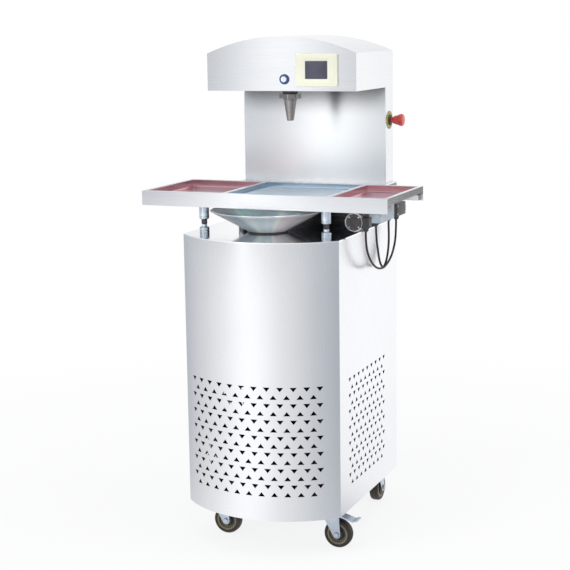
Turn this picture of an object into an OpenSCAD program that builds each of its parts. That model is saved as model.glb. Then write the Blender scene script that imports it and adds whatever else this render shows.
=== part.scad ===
// Chocolate melting and tempering tank on castors, with a vibrating table, a pump column and a pouring head.
// Millimetres, +Z up, front towards -Y, origin on the floor under the middle of the whole outline.

/* [Cabinet] */
// Width across the flat sides
cabinet_w = 454; // [430:1:520]
// Depth of the flat sides, from the front corners to the back edges
side_depth = 487; // [470:1:560]
// How far the bowed front stands out past the front corners
bow_depth = 100; // [80:1:130]
// Height of the cabinet, without its castors
cabinet_h = 760; // [730:1:860]
// Thickness of the panels
sheet = 2; // [1:0.1:3]
// Thickness of the base plate
base_t = 4; // [3:0.5:8]
// Thickness of the polished top deck
deck_t = 3; // [2:0.5:6]
// Side of the square corner posts
post_side = 25; // [18:1:34]
// Wall of the corner posts
post_wall = 1.5; // [1:0.1:3]
// How far the rear panel sits inside the back edges of the side panels
rear_recess = 8; // [6:0.5:20]

/* [Vents] */
// Width of one triangular vent
vent_w = 19; // [10:0.5:24]
// Height of one triangular vent
vent_h = 12; // [6:0.5:14]
// Spacing of the vents along a row
vent_pitch = 36; // [34:0.5:40]
// Spacing of the pairs of rows
vent_row_pitch = 45; // [40:0.5:50]
// Drop from a row of downward vents to the upward row under it
vent_row_drop = 21; // [18:0.5:25]
// Pairs of rows
vent_rows = 7; // [3:1:8]
// Downward vents in a row of the front
vent_front_n = 12; // [6:1:12]
// Downward vents in a row of a side
vent_side_n = 9; // [4:1:10]
// Height of the highest row above the base
vent_top = 366; // [340:1:420]
// Distance of the first side vent from the front corner
vent_side_start = 78; // [50:1:100]

/* [Castors] */
// Height of a castor, from the floor to its plate's top
ride_h = 108; // [104:1:120]
// Diameter of a wheel
wheel_d = 80; // [70:1:84]
// Width of a wheel's tread
wheel_w = 28; // [20:1:34]
// How far the axle trails behind the swivel
caster_trail = 30; // [24:1:36]
// Distance of the swivels from the middle line
caster_x = 168; // [140:1:180]
// Distance of the front swivels behind the front corners
caster_front_y = 62; // [50:1:90]
// Distance of the rear swivels behind the front corners
caster_rear_y = 450; // [420:1:452]
// Diameter of a wheel's axle
axle_d = 10; // [8:0.5:12]
// Thickness of a fork's legs
fork_t = 3; // [2:0.5:5]
// Diameter of the king pin
king_d = 12; // [10:0.5:14]

/* [Table] */
// Width of the table
table_w = 715; // [660:1:800]
// Depth of the table
table_d = 313; // [306:1:320]
// Distance of the table's front behind the cabinet's front corners
table_setback = 10.5; // [4:0.5:16]
// Height of the table's top above the deck
table_rise = 113; // [106:1:130]
// Height of the front and rear aprons
apron_h = 40; // [38:1:46]
// Height of the lips at the table's two ends
end_lip_h = 18; // [12:0.5:22]
// Width of the rim round the table's pans
rim_w = 12; // [8:0.5:20]
// Depth of the pans
pan_depth = 20; // [16:0.5:22]
// Middle of the left divider, measured from the middle line
left_divider_x = -112; // [-140:1:-100]
// Middle of the right divider, measured from the middle line
right_divider_x = 192; // [170:1:196]
// Diameter of the grid's rods
rod_d = 4; // [3:0.5:6]
// Spacing of the grid's rods
rod_pitch = 13; // [10:0.5:20]

/* [Mounts] */
// Distance of the vibration mounts beyond the bowl's side, measured across
mount_margin = 5; // [3:0.5:12]
// Distance of the front mounts behind the front corners
mount_front_y = 34; // [30:1:38]
// Distance of the rear mounts behind the front corners
mount_rear_y = 300; // [280:1:304]
// Diameter of a mount's foot and sleeve
mount_d = 27; // [20:0.5:30]
// Height of a mount's foot
foot_h = 17; // [12:0.5:22]
// Diameter of a mount's rubber
rubber_d = 16; // [10:0.5:18]
// Height of a mount's rubber
rubber_h = 13; // [8:0.5:18]

/* [Tank] */
// Radius of the bowl at its rim
bowl_r = 154; // [140:1:156]
// Radius of the bowl's flat bottom
bowl_bottom_r = 56; // [50:1:64]
// Height of the bowl's cone
cone_h = 52; // [44:1:54]
// Height of the turned-up band above the cone
band_h = 6; // [4:0.5:10]
// Thickness of the bowl
bowl_t = 2; // [1:0.1:3]
// Distance of the bowl's axis from the middle line
bowl_x = -20; // [-24:1:-10]
// Distance of the bowl's axis behind the front corners
bowl_y = 105; // [100:1:115]
// Radius of the bowl's outlet neck
neck_r = 22; // [16:0.5:24]
// Thickness of the heater mat under the bowl
heater_t = 4; // [3:0.5:6]

/* [Column] */
// Width of the column and the head
column_w = 440; // [420:1:448]
// Depth of the column
column_d = 64; // [58:1:72]
// Distance of the column's back inside the cabinet's back edges
column_inset = 14; // [10:1:20]
// Height of the plinth behind the table
plinth_h = 94; // [88:1:110]
// Thickness of the plinth's cap
cap_t = 13; // [8:0.5:20]
// How far the cap stands out past the plinth
cap_lip = 14; // [10:0.5:18]
// Distance of the plinth's front behind the table
plinth_gap = 14; // [10:0.5:18]

/* [Head] */
// Distance of the head's front behind the front corners
head_y = 161; // [140:1:170]
// Height of the head's underside above the plinth's cap
head_lift = 274; // [260:1:320]
// Height of the head at its shoulders
shoulder_h = 102; // [98:1:130]
// Rise of the arched top above the shoulders
arch_h = 46; // [30:1:60]

/* [Nozzle] */
// Distance of the nozzle behind the front corners
nozzle_y = 230; // [222:1:245]
// Length of the nozzle's cone
nozzle_len = 58; // [40:1:70]
// Radius of the nozzle's collar
collar_r = 20; // [18:0.5:24]
// Height of the nozzle's collar
collar_h = 17; // [12:0.5:22]
// Radius of the nozzle's tip
tip_r = 9.5; // [8.5:0.5:12]
// Radius of the nozzle's outlet
outlet_r = 6.5; // [4:0.5:7]
// Length of the straight part of the outlet
outlet_len = 20; // [12:1:26]
// Height of the ring over the nozzle's collar
union_h = 10; // [8:0.5:14]
// Width across the wings on the nozzle's collar
wing_span = 66; // [52:1:80]

/* [Controls] */
// Distance of the control panel from the middle line
panel_x = 107; // [100:1:120]
// Width of the control panel
panel_w = 122; // [110:1:130]
// Height of the control panel
panel_h = 88; // [80:1:92]
// Thickness of the control panel's bezel
panel_t = 6; // [4:0.5:9]
// Width of the screen
screen_w = 64; // [50:1:80]
// Height of the screen
screen_h = 48; // [36:1:56]
// Distance of the push button from the middle line
button_x = 12; // [2:1:18]
// Height of the push button above the head's underside
button_z = 32; // [26:1:50]
// Radius of the push button's bezel
button_r = 14; // [12.5:0.5:16]
// Travel of the push button
button_travel = 3; // [2:0.5:4]
// Height of the emergency stop above the plinth's cap
estop_z = 180; // [140:1:220]
// Radius of the emergency stop's mushroom
estop_r = 18; // [17:0.5:20]
// Radius of the emergency stop's yellow plate
estop_plate_r = 26; // [22:0.5:27]
// Travel of the emergency stop
estop_travel = 5; // [3:0.5:6]

/* [Vibrator] */
// Distance of the vibrator from the middle line
vib_x = 228; // [226:1:232]
// Distance of the vibrator's front behind the front corners
vib_y = 112; // [108:1:116]
// Length of the vibrator
vib_len = 74; // [66:1:80]
// Radius of the vibrator's body
vib_r = 24; // [22:0.5:25]
// Radius of the vibrator's shaft
vib_shaft_r = 5; // [4:0.5:7]
// Diameter of the table's cables
cable_d = 6; // [5:0.5:6]

/* [Pump and cooling] */
// Radius of the pump's screw
screw_r = 24; // [20:0.5:26]
// Length of the pump's chamber
pump_len = 200; // [170:1:240]
// Outer radius of the riser pipe
pipe_r = 14; // [10:0.5:16]
// Wall of the riser pipe
pipe_wall = 2; // [1:0.5:3]
// Radius of the gear motor
motor_r = 40; // [32:1:48]
// Length of the gear motor
motor_len = 190; // [150:1:220]
// Radius of the compressor
compressor_r = 75; // [60:1:85]
// Height of the compressor
compressor_h = 165; // [140:1:200]
// Width of the condenser
condenser_w = 250; // [220:1:280]
// Height of the condenser
condenser_h = 255; // [230:1:280]
// Radius of the fan
fan_r = 96; // [80:1:100]

/* [Hidden] */
$fn = 48;

// Clearances and the overrun of a cut
gap = 0.3;
running = 0.05;
over = 1;

// Driving places worked out from the sizes above
wheel_r = wheel_d / 2;
y_corner = -(caster_rear_y + caster_trail + wheel_r - bow_depth) / 2;
y_apex = y_corner - bow_depth;
y_back = y_corner + side_depth;
half_w = cabinet_w / 2;
bow_r = (half_w * half_w + bow_depth * bow_depth) / (2 * bow_depth);
bow_y = y_apex + bow_r;
z_base = ride_h;
z_floor = z_base + base_t;
z_deck = ride_h + cabinet_h;
z_under = z_deck - deck_t;

// Table
table_x = table_w / 2;
table_y0 = y_corner + table_setback;
table_y1 = table_y0 + table_d;
z_table = z_deck + table_rise;
z_apron = z_table - apron_h;
z_pan = z_table - pan_depth;
z_rail = z_pan - sheet;
divider_w = 12;
rail_w = 30;
rail_h = 14;
wing_plate_t = z_rail - rail_h - z_apron;
wing_plate_inset = 32;
wing_plate_w = 80;
wing_plate_x0 = vib_x - wing_plate_inset;
wing_plate_x1 = wing_plate_x0 + wing_plate_w;
pan_y0 = table_y0 + rim_w;
pan_y1 = table_y1 - rim_w;
pan_edges = [-table_x + rim_w, left_divider_x - divider_w / 2, left_divider_x + divider_w / 2,
             right_divider_x - divider_w / 2, right_divider_x + divider_w / 2, table_x - rim_w];
drain_r = 50;
drain_drop = 22;
grid_frame = 8;
grid_margin = 3;

// Vibration mounts
mount_x = bowl_r + abs(bowl_x) + mount_margin;
mount_places = [for (sx = [-1, 1]) for (y = [mount_front_y, mount_rear_y]) [sx * mount_x, y_corner + y]];
neck_h = 8;
neck_d = 17;
z_rubber = z_deck + foot_h + neck_h;
z_sleeve = z_rubber + rubber_h;
mount_chamfer = 2;

// Bowl
bowl_cy = y_corner + bowl_y;
bowl_foot = heater_t;
z_bowl = z_deck + bowl_foot;
z_crease = z_bowl + cone_h;
z_rim = z_crease + band_h;
crease_r = bowl_r - 2 * bowl_t;
rim_lip = 2 * bowl_t;

// Plinth, column and head
half_col = column_w / 2;
plinth_x = half_w - cap_lip;
plinth_y0 = table_y1 + plinth_gap;
plinth_y1 = y_back - cap_lip;
z_cap = z_deck + plinth_h;
z_col = z_cap + cap_t;
col_y1 = y_back - column_inset;
col_y0 = col_y1 - column_d;
head_y0 = y_corner + head_y;
z_head = z_col + head_lift;
z_shoulder = z_head + shoulder_h;
arch_r = (half_col * half_col + arch_h * arch_h) / (2 * arch_h);
z_arch = z_shoulder + arch_h - arch_r;
cheek_top = z_arch + sqrt(pow(arch_r - sheet, 2) - half_col * half_col);

// Nozzle and riser
nozzle_cy = y_corner + nozzle_y;
z_collar = z_head - union_h;
z_tip = z_collar - collar_h - nozzle_len;
riser_x = bowl_x;
riser_y = col_y0 + column_d / 2;
riser_angle = atan2(-riser_x, riser_y - nozzle_cy);
riser_reach = sqrt(riser_x * riser_x + pow(riser_y - nozzle_cy, 2));
elbow_r = 36;
z_run = z_head + shoulder_h / 2;

// Pump and gear motor under the deck
pump_wall = 6;
pump_flange_r = 46;
pump_flange_t = 8;
z_pump = z_under - pump_len;
neck_drop = 26;
port_len = 60;
port_wall = 4;
port_rise = 40;
port_r = pipe_r + port_wall;
z_port = z_pump + port_rise;
shaft_r = 8;
shaft_depth = 60;
screw_turns = 4;
flight_t = 5;
z_motor = z_pump - motor_len;

// Control panel, button and emergency stop
panel_lift = 6;
z_panel = z_head + shoulder_h / 2 + panel_lift;
panel_back = 30;
panel_lip = 7;
screen_t = 2;
screen_x0 = panel_x - screen_w / 2;
button_cz = z_head + button_z;
button_bezel_t = 5;
button_wall = 3;
button_rest = 0.5;
button_proud = button_travel + button_rest;
barrel_len = 34;
estop_y = col_y0 + column_d / 2;
estop_cz = z_col + estop_z;
estop_plate_t = 1.5;
estop_collar_r = 15;
estop_collar_t = 5;
estop_barrel_r = 11;
estop_stem_r = 8;
estop_head_t = 31;
estop_neck_r = 11;
estop_rest = 2;
estop_head_gap = estop_travel + estop_rest;
estop_round = 5;

// Vibrator, boxes and glands
vib_y0 = y_corner + vib_y;
vib_drop = 39;
vib_z = z_apron - vib_drop;
vib_cap_t = 6;
vib_cap_lip = 3;
vib_wall = 3;
vib_foot_w = 36;
vib_foot_share = 0.6;
weight_t = 14;
weight_gap = 1;
term_side = 26;
term_offset = 17;
term_x0 = vib_x + term_offset;
term_drop = 14;
box_offset = 8;
box_w = 38;
box_gap = 19;
box_inset = 5.5;
box_clear = 20;
box_x0 = vib_x + box_offset;
box_x1 = box_x0 + box_w;
box_y0 = vib_y0 + vib_len + box_gap;
box_y1 = table_y1 - box_inset;
box_len = box_y1 - box_y0;
z_box = z_deck + box_clear;
rear_box_h = 38;
rear_box_inset = 4;
rear_box_y0 = plinth_y0 + rear_box_inset;
rear_box_len = 82;
box_lid_t = 2;
box_lid_lip = 2;
gland_r = 8;
gland_h = 12;
gland_nut_share = 0.5;
gland_bore_share = 0.75;

// Cables: hanging loops from the table's glands to the rear box's glands, in a plane of constant x each
// Shares run from the first gland to the last, and from the glands down to the loop's lowest point
outer_drop = 125;
inner_drop = 129;
cable_seat = 4;
z_cable = z_box - gland_h + cable_seat;
inner_x_share = 0.29;
box_gland_share = 0.33;
rear_inner_share = 0.13;
rear_outer_share = 0.555;
outer_x = term_x0 + term_side / 2;
inner_x = box_x0 + inner_x_share * box_w;
outer_y0 = vib_y0 + term_side / 2;
inner_y0 = box_y0 + box_gland_share * box_len;
outer_y1 = rear_box_y0 + rear_outer_share * rear_box_len;
inner_y1 = rear_box_y0 + rear_inner_share * rear_box_len;
outer_shares = [[0, 0], [0, 0.11], [0.005, 0.22], [0.02, 0.35], [0.05, 0.48], [0.1, 0.61], [0.17, 0.735],
                [0.26, 0.855], [0.365, 0.945], [0.47, 0.99], [0.58, 1], [0.68, 0.96], [0.775, 0.89],
                [0.855, 0.79], [0.915, 0.67], [0.96, 0.535], [0.985, 0.385], [0.995, 0.24], [1, 0.11],
                [1, 0]];
inner_shares = [[0, 0], [0, 0.11], [0.02, 0.23], [0.06, 0.39], [0.13, 0.54], [0.2, 0.7], [0.29, 0.84],
                [0.41, 0.945], [0.545, 1], [0.68, 0.975], [0.8, 0.9], [0.9, 0.785], [0.97, 0.65],
                [1.01, 0.51], [1.02, 0.37], [1.01, 0.23], [1, 0.11], [1, 0]];
outer_route = [for (p = outer_shares)
    [outer_x, outer_y0 + p[0] * (outer_y1 - outer_y0), z_cable - p[1] * outer_drop]];
inner_route = [for (p = inner_shares)
    [inner_x, inner_y0 + p[0] * (inner_y1 - inner_y0), z_cable - p[1] * inner_drop]];
cable_sides = 10;

// Castors
caster_places = [["front_right", caster_x, y_corner + caster_front_y, 0],
                 ["front_left", -caster_x, y_corner + caster_front_y, 0],
                 ["rear_right", caster_x, y_corner + caster_rear_y, 90],
                 ["rear_left", -caster_x, y_corner + caster_rear_y, 90]];
plate_side = 62;
plate_t = 3;
race_h = 7.7;
race_r = 22;
crown_r = 23;
crown_t = 7;
z_race = ride_h - plate_t - race_h;
z_crown = z_race - gap - crown_t;
king_nut_r = 9;
king_nut_h = 6;
axle_r = axle_d / 2;
fork_side_gap = 2.5;
leg_y = wheel_w / 2 + fork_side_gap;
leg_eye_r = 11;
leg_back_share = 0.5;
axle_head_r = 8;
axle_head_t = 5;
tread_t = 10;
tread_round = 4;
hub_r = 15;
hub_gap = 0.5;
web_t = 10;
pedal_pin_r = 3;
pedal_eye_r = 6;
pedal_gap = 2;
pedal_x = crown_r + pedal_eye_r + pedal_gap;
pedal_len = 46;
pedal_t = 4;
pedal_slope = 17;
pedal_toe = 16;
pedal_pin_z = z_crown + pedal_pin_r;

// Cooling
condenser_d = 34;
condenser_ahead = 30;
condenser_y0 = y_corner - condenser_ahead;
condenser_frame = 12;
fin_t = 1;
fin_count = 24;
shroud_t = 3;
fan_z = z_floor + condenser_h / 2;
fan_clear = 6;
fan_hub_r = 26;
fan_hub_t = 22;
fan_blades_n = 5;
blade_t = 2.5;
blade_pitch = 32;
fan_shaft_r = 4;
fan_back = 12;
fan_bar_t = 5;
fan_bar_h = 24;
fan_motor_r = 30;
fan_motor_len = 42;
compressor_x = 95;
compressor_back = 320;
compressor_y = y_corner + compressor_back;
compressor_foot = 6;
compressor_round = 22;

// Control box, inlet and screws
control_w = 88;
control_d = 180;
control_h = 230;
control_back = 210;
control_drop = 90;
control_y0 = y_corner + control_back;
control_z0 = z_under - control_h - control_drop;
control_lid_t = 3;
inlet_side = 62;
inlet_t = 4;
inlet_r = 22;
inlet_depth = 36;
inlet_x = 120;
inlet_rise = 90;
inlet_z = z_base + inlet_rise;
inlet_pin_r = 3;
inlet_pin_back = 14;
inlet_ring = 3;
screw_head_r = 4.5;
screw_head_t = 2.5;
screw_edge = 14;
screw_shares = [0, 0.5, 1];
slot_w = 110;
slot_h = 8;
slot_pitch = 22;
slot_count = 9;
slot_rise = 186;
slot_z0 = z_base + slot_rise;

// Shapes that repeat

// A block between two corners
module block(x0, x1, y0, y1, z0, z1) {
    translate([x0, y0, z0])
        cube([x1 - x0, y1 - y0, z1 - z0]);
}

// A rod along Y between two places
module rod_y(x, y0, y1, z, r) {
    translate([x, y0, z])
        rotate([-90, 0, 0])
            cylinder(r = r, h = y1 - y0);
}

// A rod along X between two places
module rod_x(x0, x1, y, z, r) {
    translate([x0, y, z])
        rotate([0, 90, 0])
            cylinder(r = r, h = x1 - x0);
}

// The cabinet's bowed outline as a prism, set in from the outside by inset
module cabinet_prism(inset, z0, z1) {
    intersection() {
        block(-half_w + inset, half_w - inset, y_apex - over, y_back, z0, z1);
        union() {
            translate([0, bow_y, z0])
                cylinder(r = bow_r - inset, h = z1 - z0);
            block(-half_w, half_w, bow_y, y_back, z0, z1);
        }
    }
}

// One triangular cut along Y, point down or point up
module vent(up) {
    tip = up ? vent_h / 2 : -vent_h / 2;
    rotate([90, 0, 0])
        linear_extrude(height = 4 * sheet + 2 * over, center = true)
            polygon([[-vent_w / 2, -tip], [vent_w / 2, -tip], [0, tip]]);
}

// A pan with a floor and four walls, open at the top, hung under the table's rim
module pan(x0, x1) {
    difference() {
        block(x0 - sheet, x1 + sheet, pan_y0 - sheet, pan_y1 + sheet, z_rail, z_table - sheet);
        block(x0, x1, pan_y0, pan_y1, z_pan, z_table);
    }
}

// A cable gland that points down, its nut above and its dome below
module gland(x, y, z) {
    nut_h = gland_h * gland_nut_share;
    translate([x, y, z - gland_h])
        difference() {
            union() {
                translate([0, 0, gland_h - nut_h])
                    cylinder(r = gland_r + sheet / 2, h = nut_h, $fn = 6);
                cylinder(r1 = cable_d / 2 + sheet, r2 = gland_r, h = gland_h - nut_h);
            }
            translate([0, 0, -over])
                cylinder(r = cable_d / 2 + gap, h = gland_h * gland_bore_share + over);
        }
}

// A tube of ten sides swept along a route that lies in a plane of constant x
function heading(p, i) =
    let (a = p[max(i - 1, 0)], b = p[min(i + 1, len(p) - 1)], d = b - a) d / norm(d);
function cable_ring(p, i) =
    let (t = heading(p, i), n = [0, -t[2], t[1]])
    [for (k = [0:cable_sides - 1])
        p[i] + cable_d / 2 * (cos(360 * k / cable_sides) * [1, 0, 0] + sin(360 * k / cable_sides) * n)];
module cable(p) {
    n = len(p);
    points = [for (i = [0:n - 1]) each cable_ring(p, i)];
    sides = [for (i = [0:n - 2]) for (k = [0:cable_sides - 1])
        let (a = i * cable_sides + k, b = i * cable_sides + (k + 1) % cable_sides)
        each [[a, b + cable_sides, b], [a, a + cable_sides, b + cable_sides]]];
    first = [for (k = [1:cable_sides - 2]) [0, k, k + 1]];
    last = [for (k = [1:cable_sides - 2])
        let (s = (n - 1) * cable_sides) [s, s + k + 1, s + k]];
    polyhedron(points, concat(sides, first, last));
}

// A castor's own place: swivel at the origin, trailing along +X
module at_caster(i) {
    c = caster_places[i];
    translate([c[1], c[2], 0])
        rotate([0, 0, c[3]])
            children();
}

// Cabinet

module base_plate() {
    color("silver")
        cabinet_prism(sheet + gap, z_base, z_floor);
}

module corner_posts() {
    inset = sheet + gap;
    color("gray")
        for (sx = [-1, 1])
            for (y = [y_corner + post_side / 2, y_back - rear_recess - sheet - post_side])
                translate([sx * (half_w - inset - post_side / 2), y + post_side / 2, z_floor])
                    difference() {
                        translate([-post_side / 2, -post_side / 2, 0])
                            cube([post_side, post_side, z_under - z_floor]);
                        translate([-post_side / 2 + post_wall, -post_side / 2 + post_wall, -over])
                            cube([post_side - 2 * post_wall, post_side - 2 * post_wall,
                                  z_under - z_floor + 2 * over]);
                    }
}

module deck() {
    color("gainsboro")
        difference() {
            cabinet_prism(0, z_under, z_deck);
            translate([bowl_x, bowl_cy, z_under - over])
                cylinder(r = neck_r + gap, h = deck_t + 2 * over);
            translate([riser_x, riser_y, z_under - over])
                cylinder(r = pipe_r + gap, h = deck_t + 2 * over);
        }
}

module front_panel() {
    turn = vent_pitch / bow_r * 180 / PI;
    color("whitesmoke")
        difference() {
            intersection() {
                translate([0, bow_y, z_base])
                    difference() {
                        cylinder(r = bow_r, h = z_under - z_base);
                        translate([0, 0, -over])
                            cylinder(r = bow_r - sheet, h = z_under - z_base + 2 * over);
                    }
                block(-half_w, half_w, y_apex - over, y_corner, z_base, z_under);
            }
            for (row = [0:vent_rows - 1])
                for (up = [0, 1])
                    for (i = [0:vent_front_n - 1 - up])
                        translate([0, bow_y, z_base + vent_top - row * vent_row_pitch - up * vent_row_drop])
                            rotate([0, 0, (i - (vent_front_n - 1 - up) / 2) * turn])
                                translate([0, sheet / 2 - bow_r, 0])
                                    vent(up == 1);
        }
}

module side_panel(side) {
    difference() {
        translate([side > 0 ? half_w - sheet : -half_w, y_corner, z_base])
            cube([sheet, side_depth, z_under - z_base]);
        for (row = [0:vent_rows - 1])
            for (up = [0, 1])
                for (i = [0:vent_side_n - 1 - up])
                    translate([side * (half_w - sheet / 2),
                               y_corner + vent_side_start + (i + up / 2) * vent_pitch,
                               z_base + vent_top - row * vent_row_pitch - up * vent_row_drop])
                        rotate([0, 0, 90])
                            vent(up == 1);
    }
}

module side_panel_right() {
    color("whitesmoke")
        side_panel(1);
}

module side_panel_left() {
    color("whitesmoke")
        side_panel(-1);
}

module rear_panel() {
    y1 = y_back - rear_recess;
    color("whitesmoke")
        difference() {
            block(-half_w + sheet, half_w - sheet, y1 - sheet, y1, z_floor, z_under);
            rod_y(inlet_x, y1 - sheet - over, y1 + over, inlet_z, inlet_r + gap);
            for (i = [0:slot_count - 1])
                block(-slot_w / 2, slot_w / 2, y1 - sheet - over, y1 + over,
                      slot_z0 + i * slot_pitch, slot_z0 + i * slot_pitch + slot_h);
        }
}

// Castors

module caster_plates() {
    color("lightsteelblue")
        for (i = [0:3])
            at_caster(i) {
                translate([-plate_side / 2, -plate_side / 2, ride_h - plate_t])
                    cube([plate_side, plate_side, plate_t]);
                translate([0, 0, z_race])
                    cylinder(r = race_r, h = race_h);
                translate([0, 0, z_crown - gap - king_nut_h])
                    cylinder(r = king_d / 2, h = ride_h - z_crown);
                translate([0, 0, z_crown - gap - king_nut_h])
                    cylinder(r = king_nut_r, h = king_nut_h, $fn = 6);
            }
}

// A fork with its legs, and its axle bolt as a solid of its own
module fork(i, braked) {
    y1 = leg_y + fork_t;
    color("lightsteelblue")
        at_caster(i) {
            difference() {
                union() {
                    translate([0, 0, z_crown])
                        cylinder(r = crown_r, h = crown_t);
                    for (s = [-1, 1])
                        translate([0, s > 0 ? y1 : -leg_y, 0])
                            rotate([90, 0, 0])
                                linear_extrude(height = fork_t)
                                    fork_leg();
                }
                translate([0, 0, z_crown - over])
                    cylinder(r = king_d / 2 + running, h = crown_t + 2 * over);
                rod_y(caster_trail, -y1 - over, y1 + over, wheel_r, axle_r + running);
                if (braked)
                    rod_y(pedal_x, -y1 - over, y1 + over, pedal_pin_z, pedal_pin_r + running);
            }
            rod_y(caster_trail, -y1 - gap, y1 + gap, wheel_r, axle_r);
            rod_y(caster_trail, -y1 - gap - axle_head_t, -y1 - gap, wheel_r, axle_head_r);
            rod_y(caster_trail, y1 + gap, y1 + gap + axle_head_t, wheel_r, axle_head_r);
        }
}

// A leg's outline: wide at the crown, narrow at the axle
module fork_leg() {
    back = -crown_r * leg_back_share;
    front = pedal_x + pedal_eye_r;
    polygon([[back, z_crown + crown_t], [front, z_crown + crown_t],
             [caster_trail + leg_eye_r, wheel_r], [caster_trail - leg_eye_r, wheel_r], [back, z_crown]]);
    translate([caster_trail, wheel_r])
        circle(r = leg_eye_r);
}

module fork_front_right() {
    fork(0, true);
}

module fork_front_left() {
    fork(1, true);
}

module fork_rear_right() {
    fork(2, false);
}

module fork_rear_left() {
    fork(3, false);
}

// A wheel's half section: hub with its bore, web, rim and rounded tread
module wheel(i) {
    w = wheel_w / 2;
    hub_w = leg_y - hub_gap;
    bore = axle_r + running;
    rim_r = wheel_r - tread_t;
    color("saddlebrown")
        at_caster(i)
            translate([caster_trail, 0, wheel_r])
                rotate([90, 0, 0])
                    rotate_extrude()
                        polygon([[bore, -hub_w], [hub_r, -hub_w], [hub_r, -web_t / 2], [rim_r, -web_t / 2],
                                 [rim_r, -w], [wheel_r - tread_round, -w], [wheel_r, tread_round - w],
                                 [wheel_r, w - tread_round], [wheel_r - tread_round, w], [rim_r, w],
                                 [rim_r, web_t / 2], [hub_r, web_t / 2], [hub_r, hub_w], [bore, hub_w]]);
}

module wheel_front_right() {
    wheel(0);
}

module wheel_front_left() {
    wheel(1);
}

module wheel_rear_right() {
    wheel(2);
}

module wheel_rear_left() {
    wheel(3);
}

// A brake pedal: an eye on its pin, a sloping plate over the wheel and a raised toe
module brake_pedal(i) {
    half = leg_y - hub_gap;
    color("lightsteelblue")
        at_caster(i)
            translate([pedal_x, 0, pedal_pin_z]) {
                translate([0, half, 0])
                    rotate([90, 0, 0])
                        linear_extrude(height = 2 * half)
                            pedal_outline();
                rod_y(0, -leg_y - fork_t, leg_y + fork_t, 0, pedal_pin_r);
            }
}

// The pedal from the side, its eye's middle at the origin
module pedal_outline() {
    down = [cos(pedal_slope), -sin(pedal_slope)];
    up = [cos(pedal_slope), sin(pedal_slope)];
    bend = pedal_len * down;
    toe = bend + pedal_toe * up;
    polygon([[0, 0], bend, toe, toe + pedal_t * [-up[1], up[0]], bend + [0, pedal_t / up[0]],
             pedal_t * [-down[1], down[0]]]);
    circle(r = pedal_eye_r);
}

module brake_pedal_right() {
    brake_pedal(0);
}

module brake_pedal_left() {
    brake_pedal(1);
}

// Tank, pump and riser

module tank_bowl() {
    t = bowl_t;
    color("lightsteelblue")
        translate([bowl_x, bowl_cy, 0])
            rotate_extrude()
                polygon([[neck_r, z_under - neck_drop], [neck_r, z_bowl], [bowl_bottom_r, z_bowl],
                         [crease_r, z_crease], [bowl_r, z_rim - t], [bowl_r + rim_lip, z_rim - t],
                         [bowl_r + rim_lip, z_rim], [bowl_r - t, z_rim], [crease_r - t, z_crease + t],
                         [bowl_bottom_r - t, z_bowl + t], [neck_r - t, z_bowl + t],
                         [neck_r - t, z_under - neck_drop]]);
}

module tank_heater() {
    color("dimgray")
        translate([bowl_x, bowl_cy, z_deck])
            difference() {
                cylinder(r = bowl_bottom_r - bowl_t, h = heater_t);
                translate([0, 0, -over])
                    cylinder(r = neck_r + gap, h = heater_t + 2 * over);
            }
}

module pump_housing() {
    r = screw_r + gap + over;
    color("slategray")
        translate([bowl_x, bowl_cy, 0])
            difference() {
                union() {
                    translate([0, 0, z_pump])
                        cylinder(r = r + pump_wall, h = pump_len);
                    translate([0, 0, z_under - pump_flange_t])
                        cylinder(r = pump_flange_r, h = pump_flange_t);
                    rod_y(0, 0, port_len, z_port, port_r);
                }
                translate([0, 0, z_pump + pump_wall])
                    cylinder(r = r, h = pump_len - neck_drop - 2 * pump_wall);
                translate([0, 0, z_under - neck_drop - pump_wall - over])
                    cylinder(r = neck_r + gap, h = neck_drop + pump_wall + 2 * over);
                translate([0, 0, z_pump - over])
                    cylinder(r = shaft_r + running, h = pump_wall + 2 * over);
                rod_y(0, 0, port_len + over, z_port, pipe_r - pipe_wall);
            }
}

module pump_screw() {
    z0 = z_pump + pump_wall + gap;
    h = pump_len - neck_drop - 3 * pump_wall;
    color("silver")
        translate([bowl_x, bowl_cy, 0]) {
            translate([0, 0, z_pump - shaft_depth])
                cylinder(r = shaft_r, h = shaft_depth + pump_wall + h);
            translate([0, 0, z0])
                linear_extrude(height = h - flight_t, twist = -360 * screw_turns,
                               slices = 10 * screw_turns, $fn = 4)
                    translate([shaft_r / 2, -flight_t / 2])
                        square([screw_r - shaft_r / 2, flight_t]);
        }
}

module pump_motor() {
    color("slategray")
        translate([bowl_x, bowl_cy, 0])
            difference() {
                union() {
                    translate([0, 0, z_motor])
                        cylinder(r = motor_r, h = motor_len);
                    translate([0, 0, z_pump - pump_flange_t])
                        cylinder(r = pump_flange_r, h = pump_flange_t);
                }
                translate([0, 0, z_pump - shaft_depth - over])
                    cylinder(r = shaft_r + running, h = shaft_depth + 2 * over);
            }
}

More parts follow.
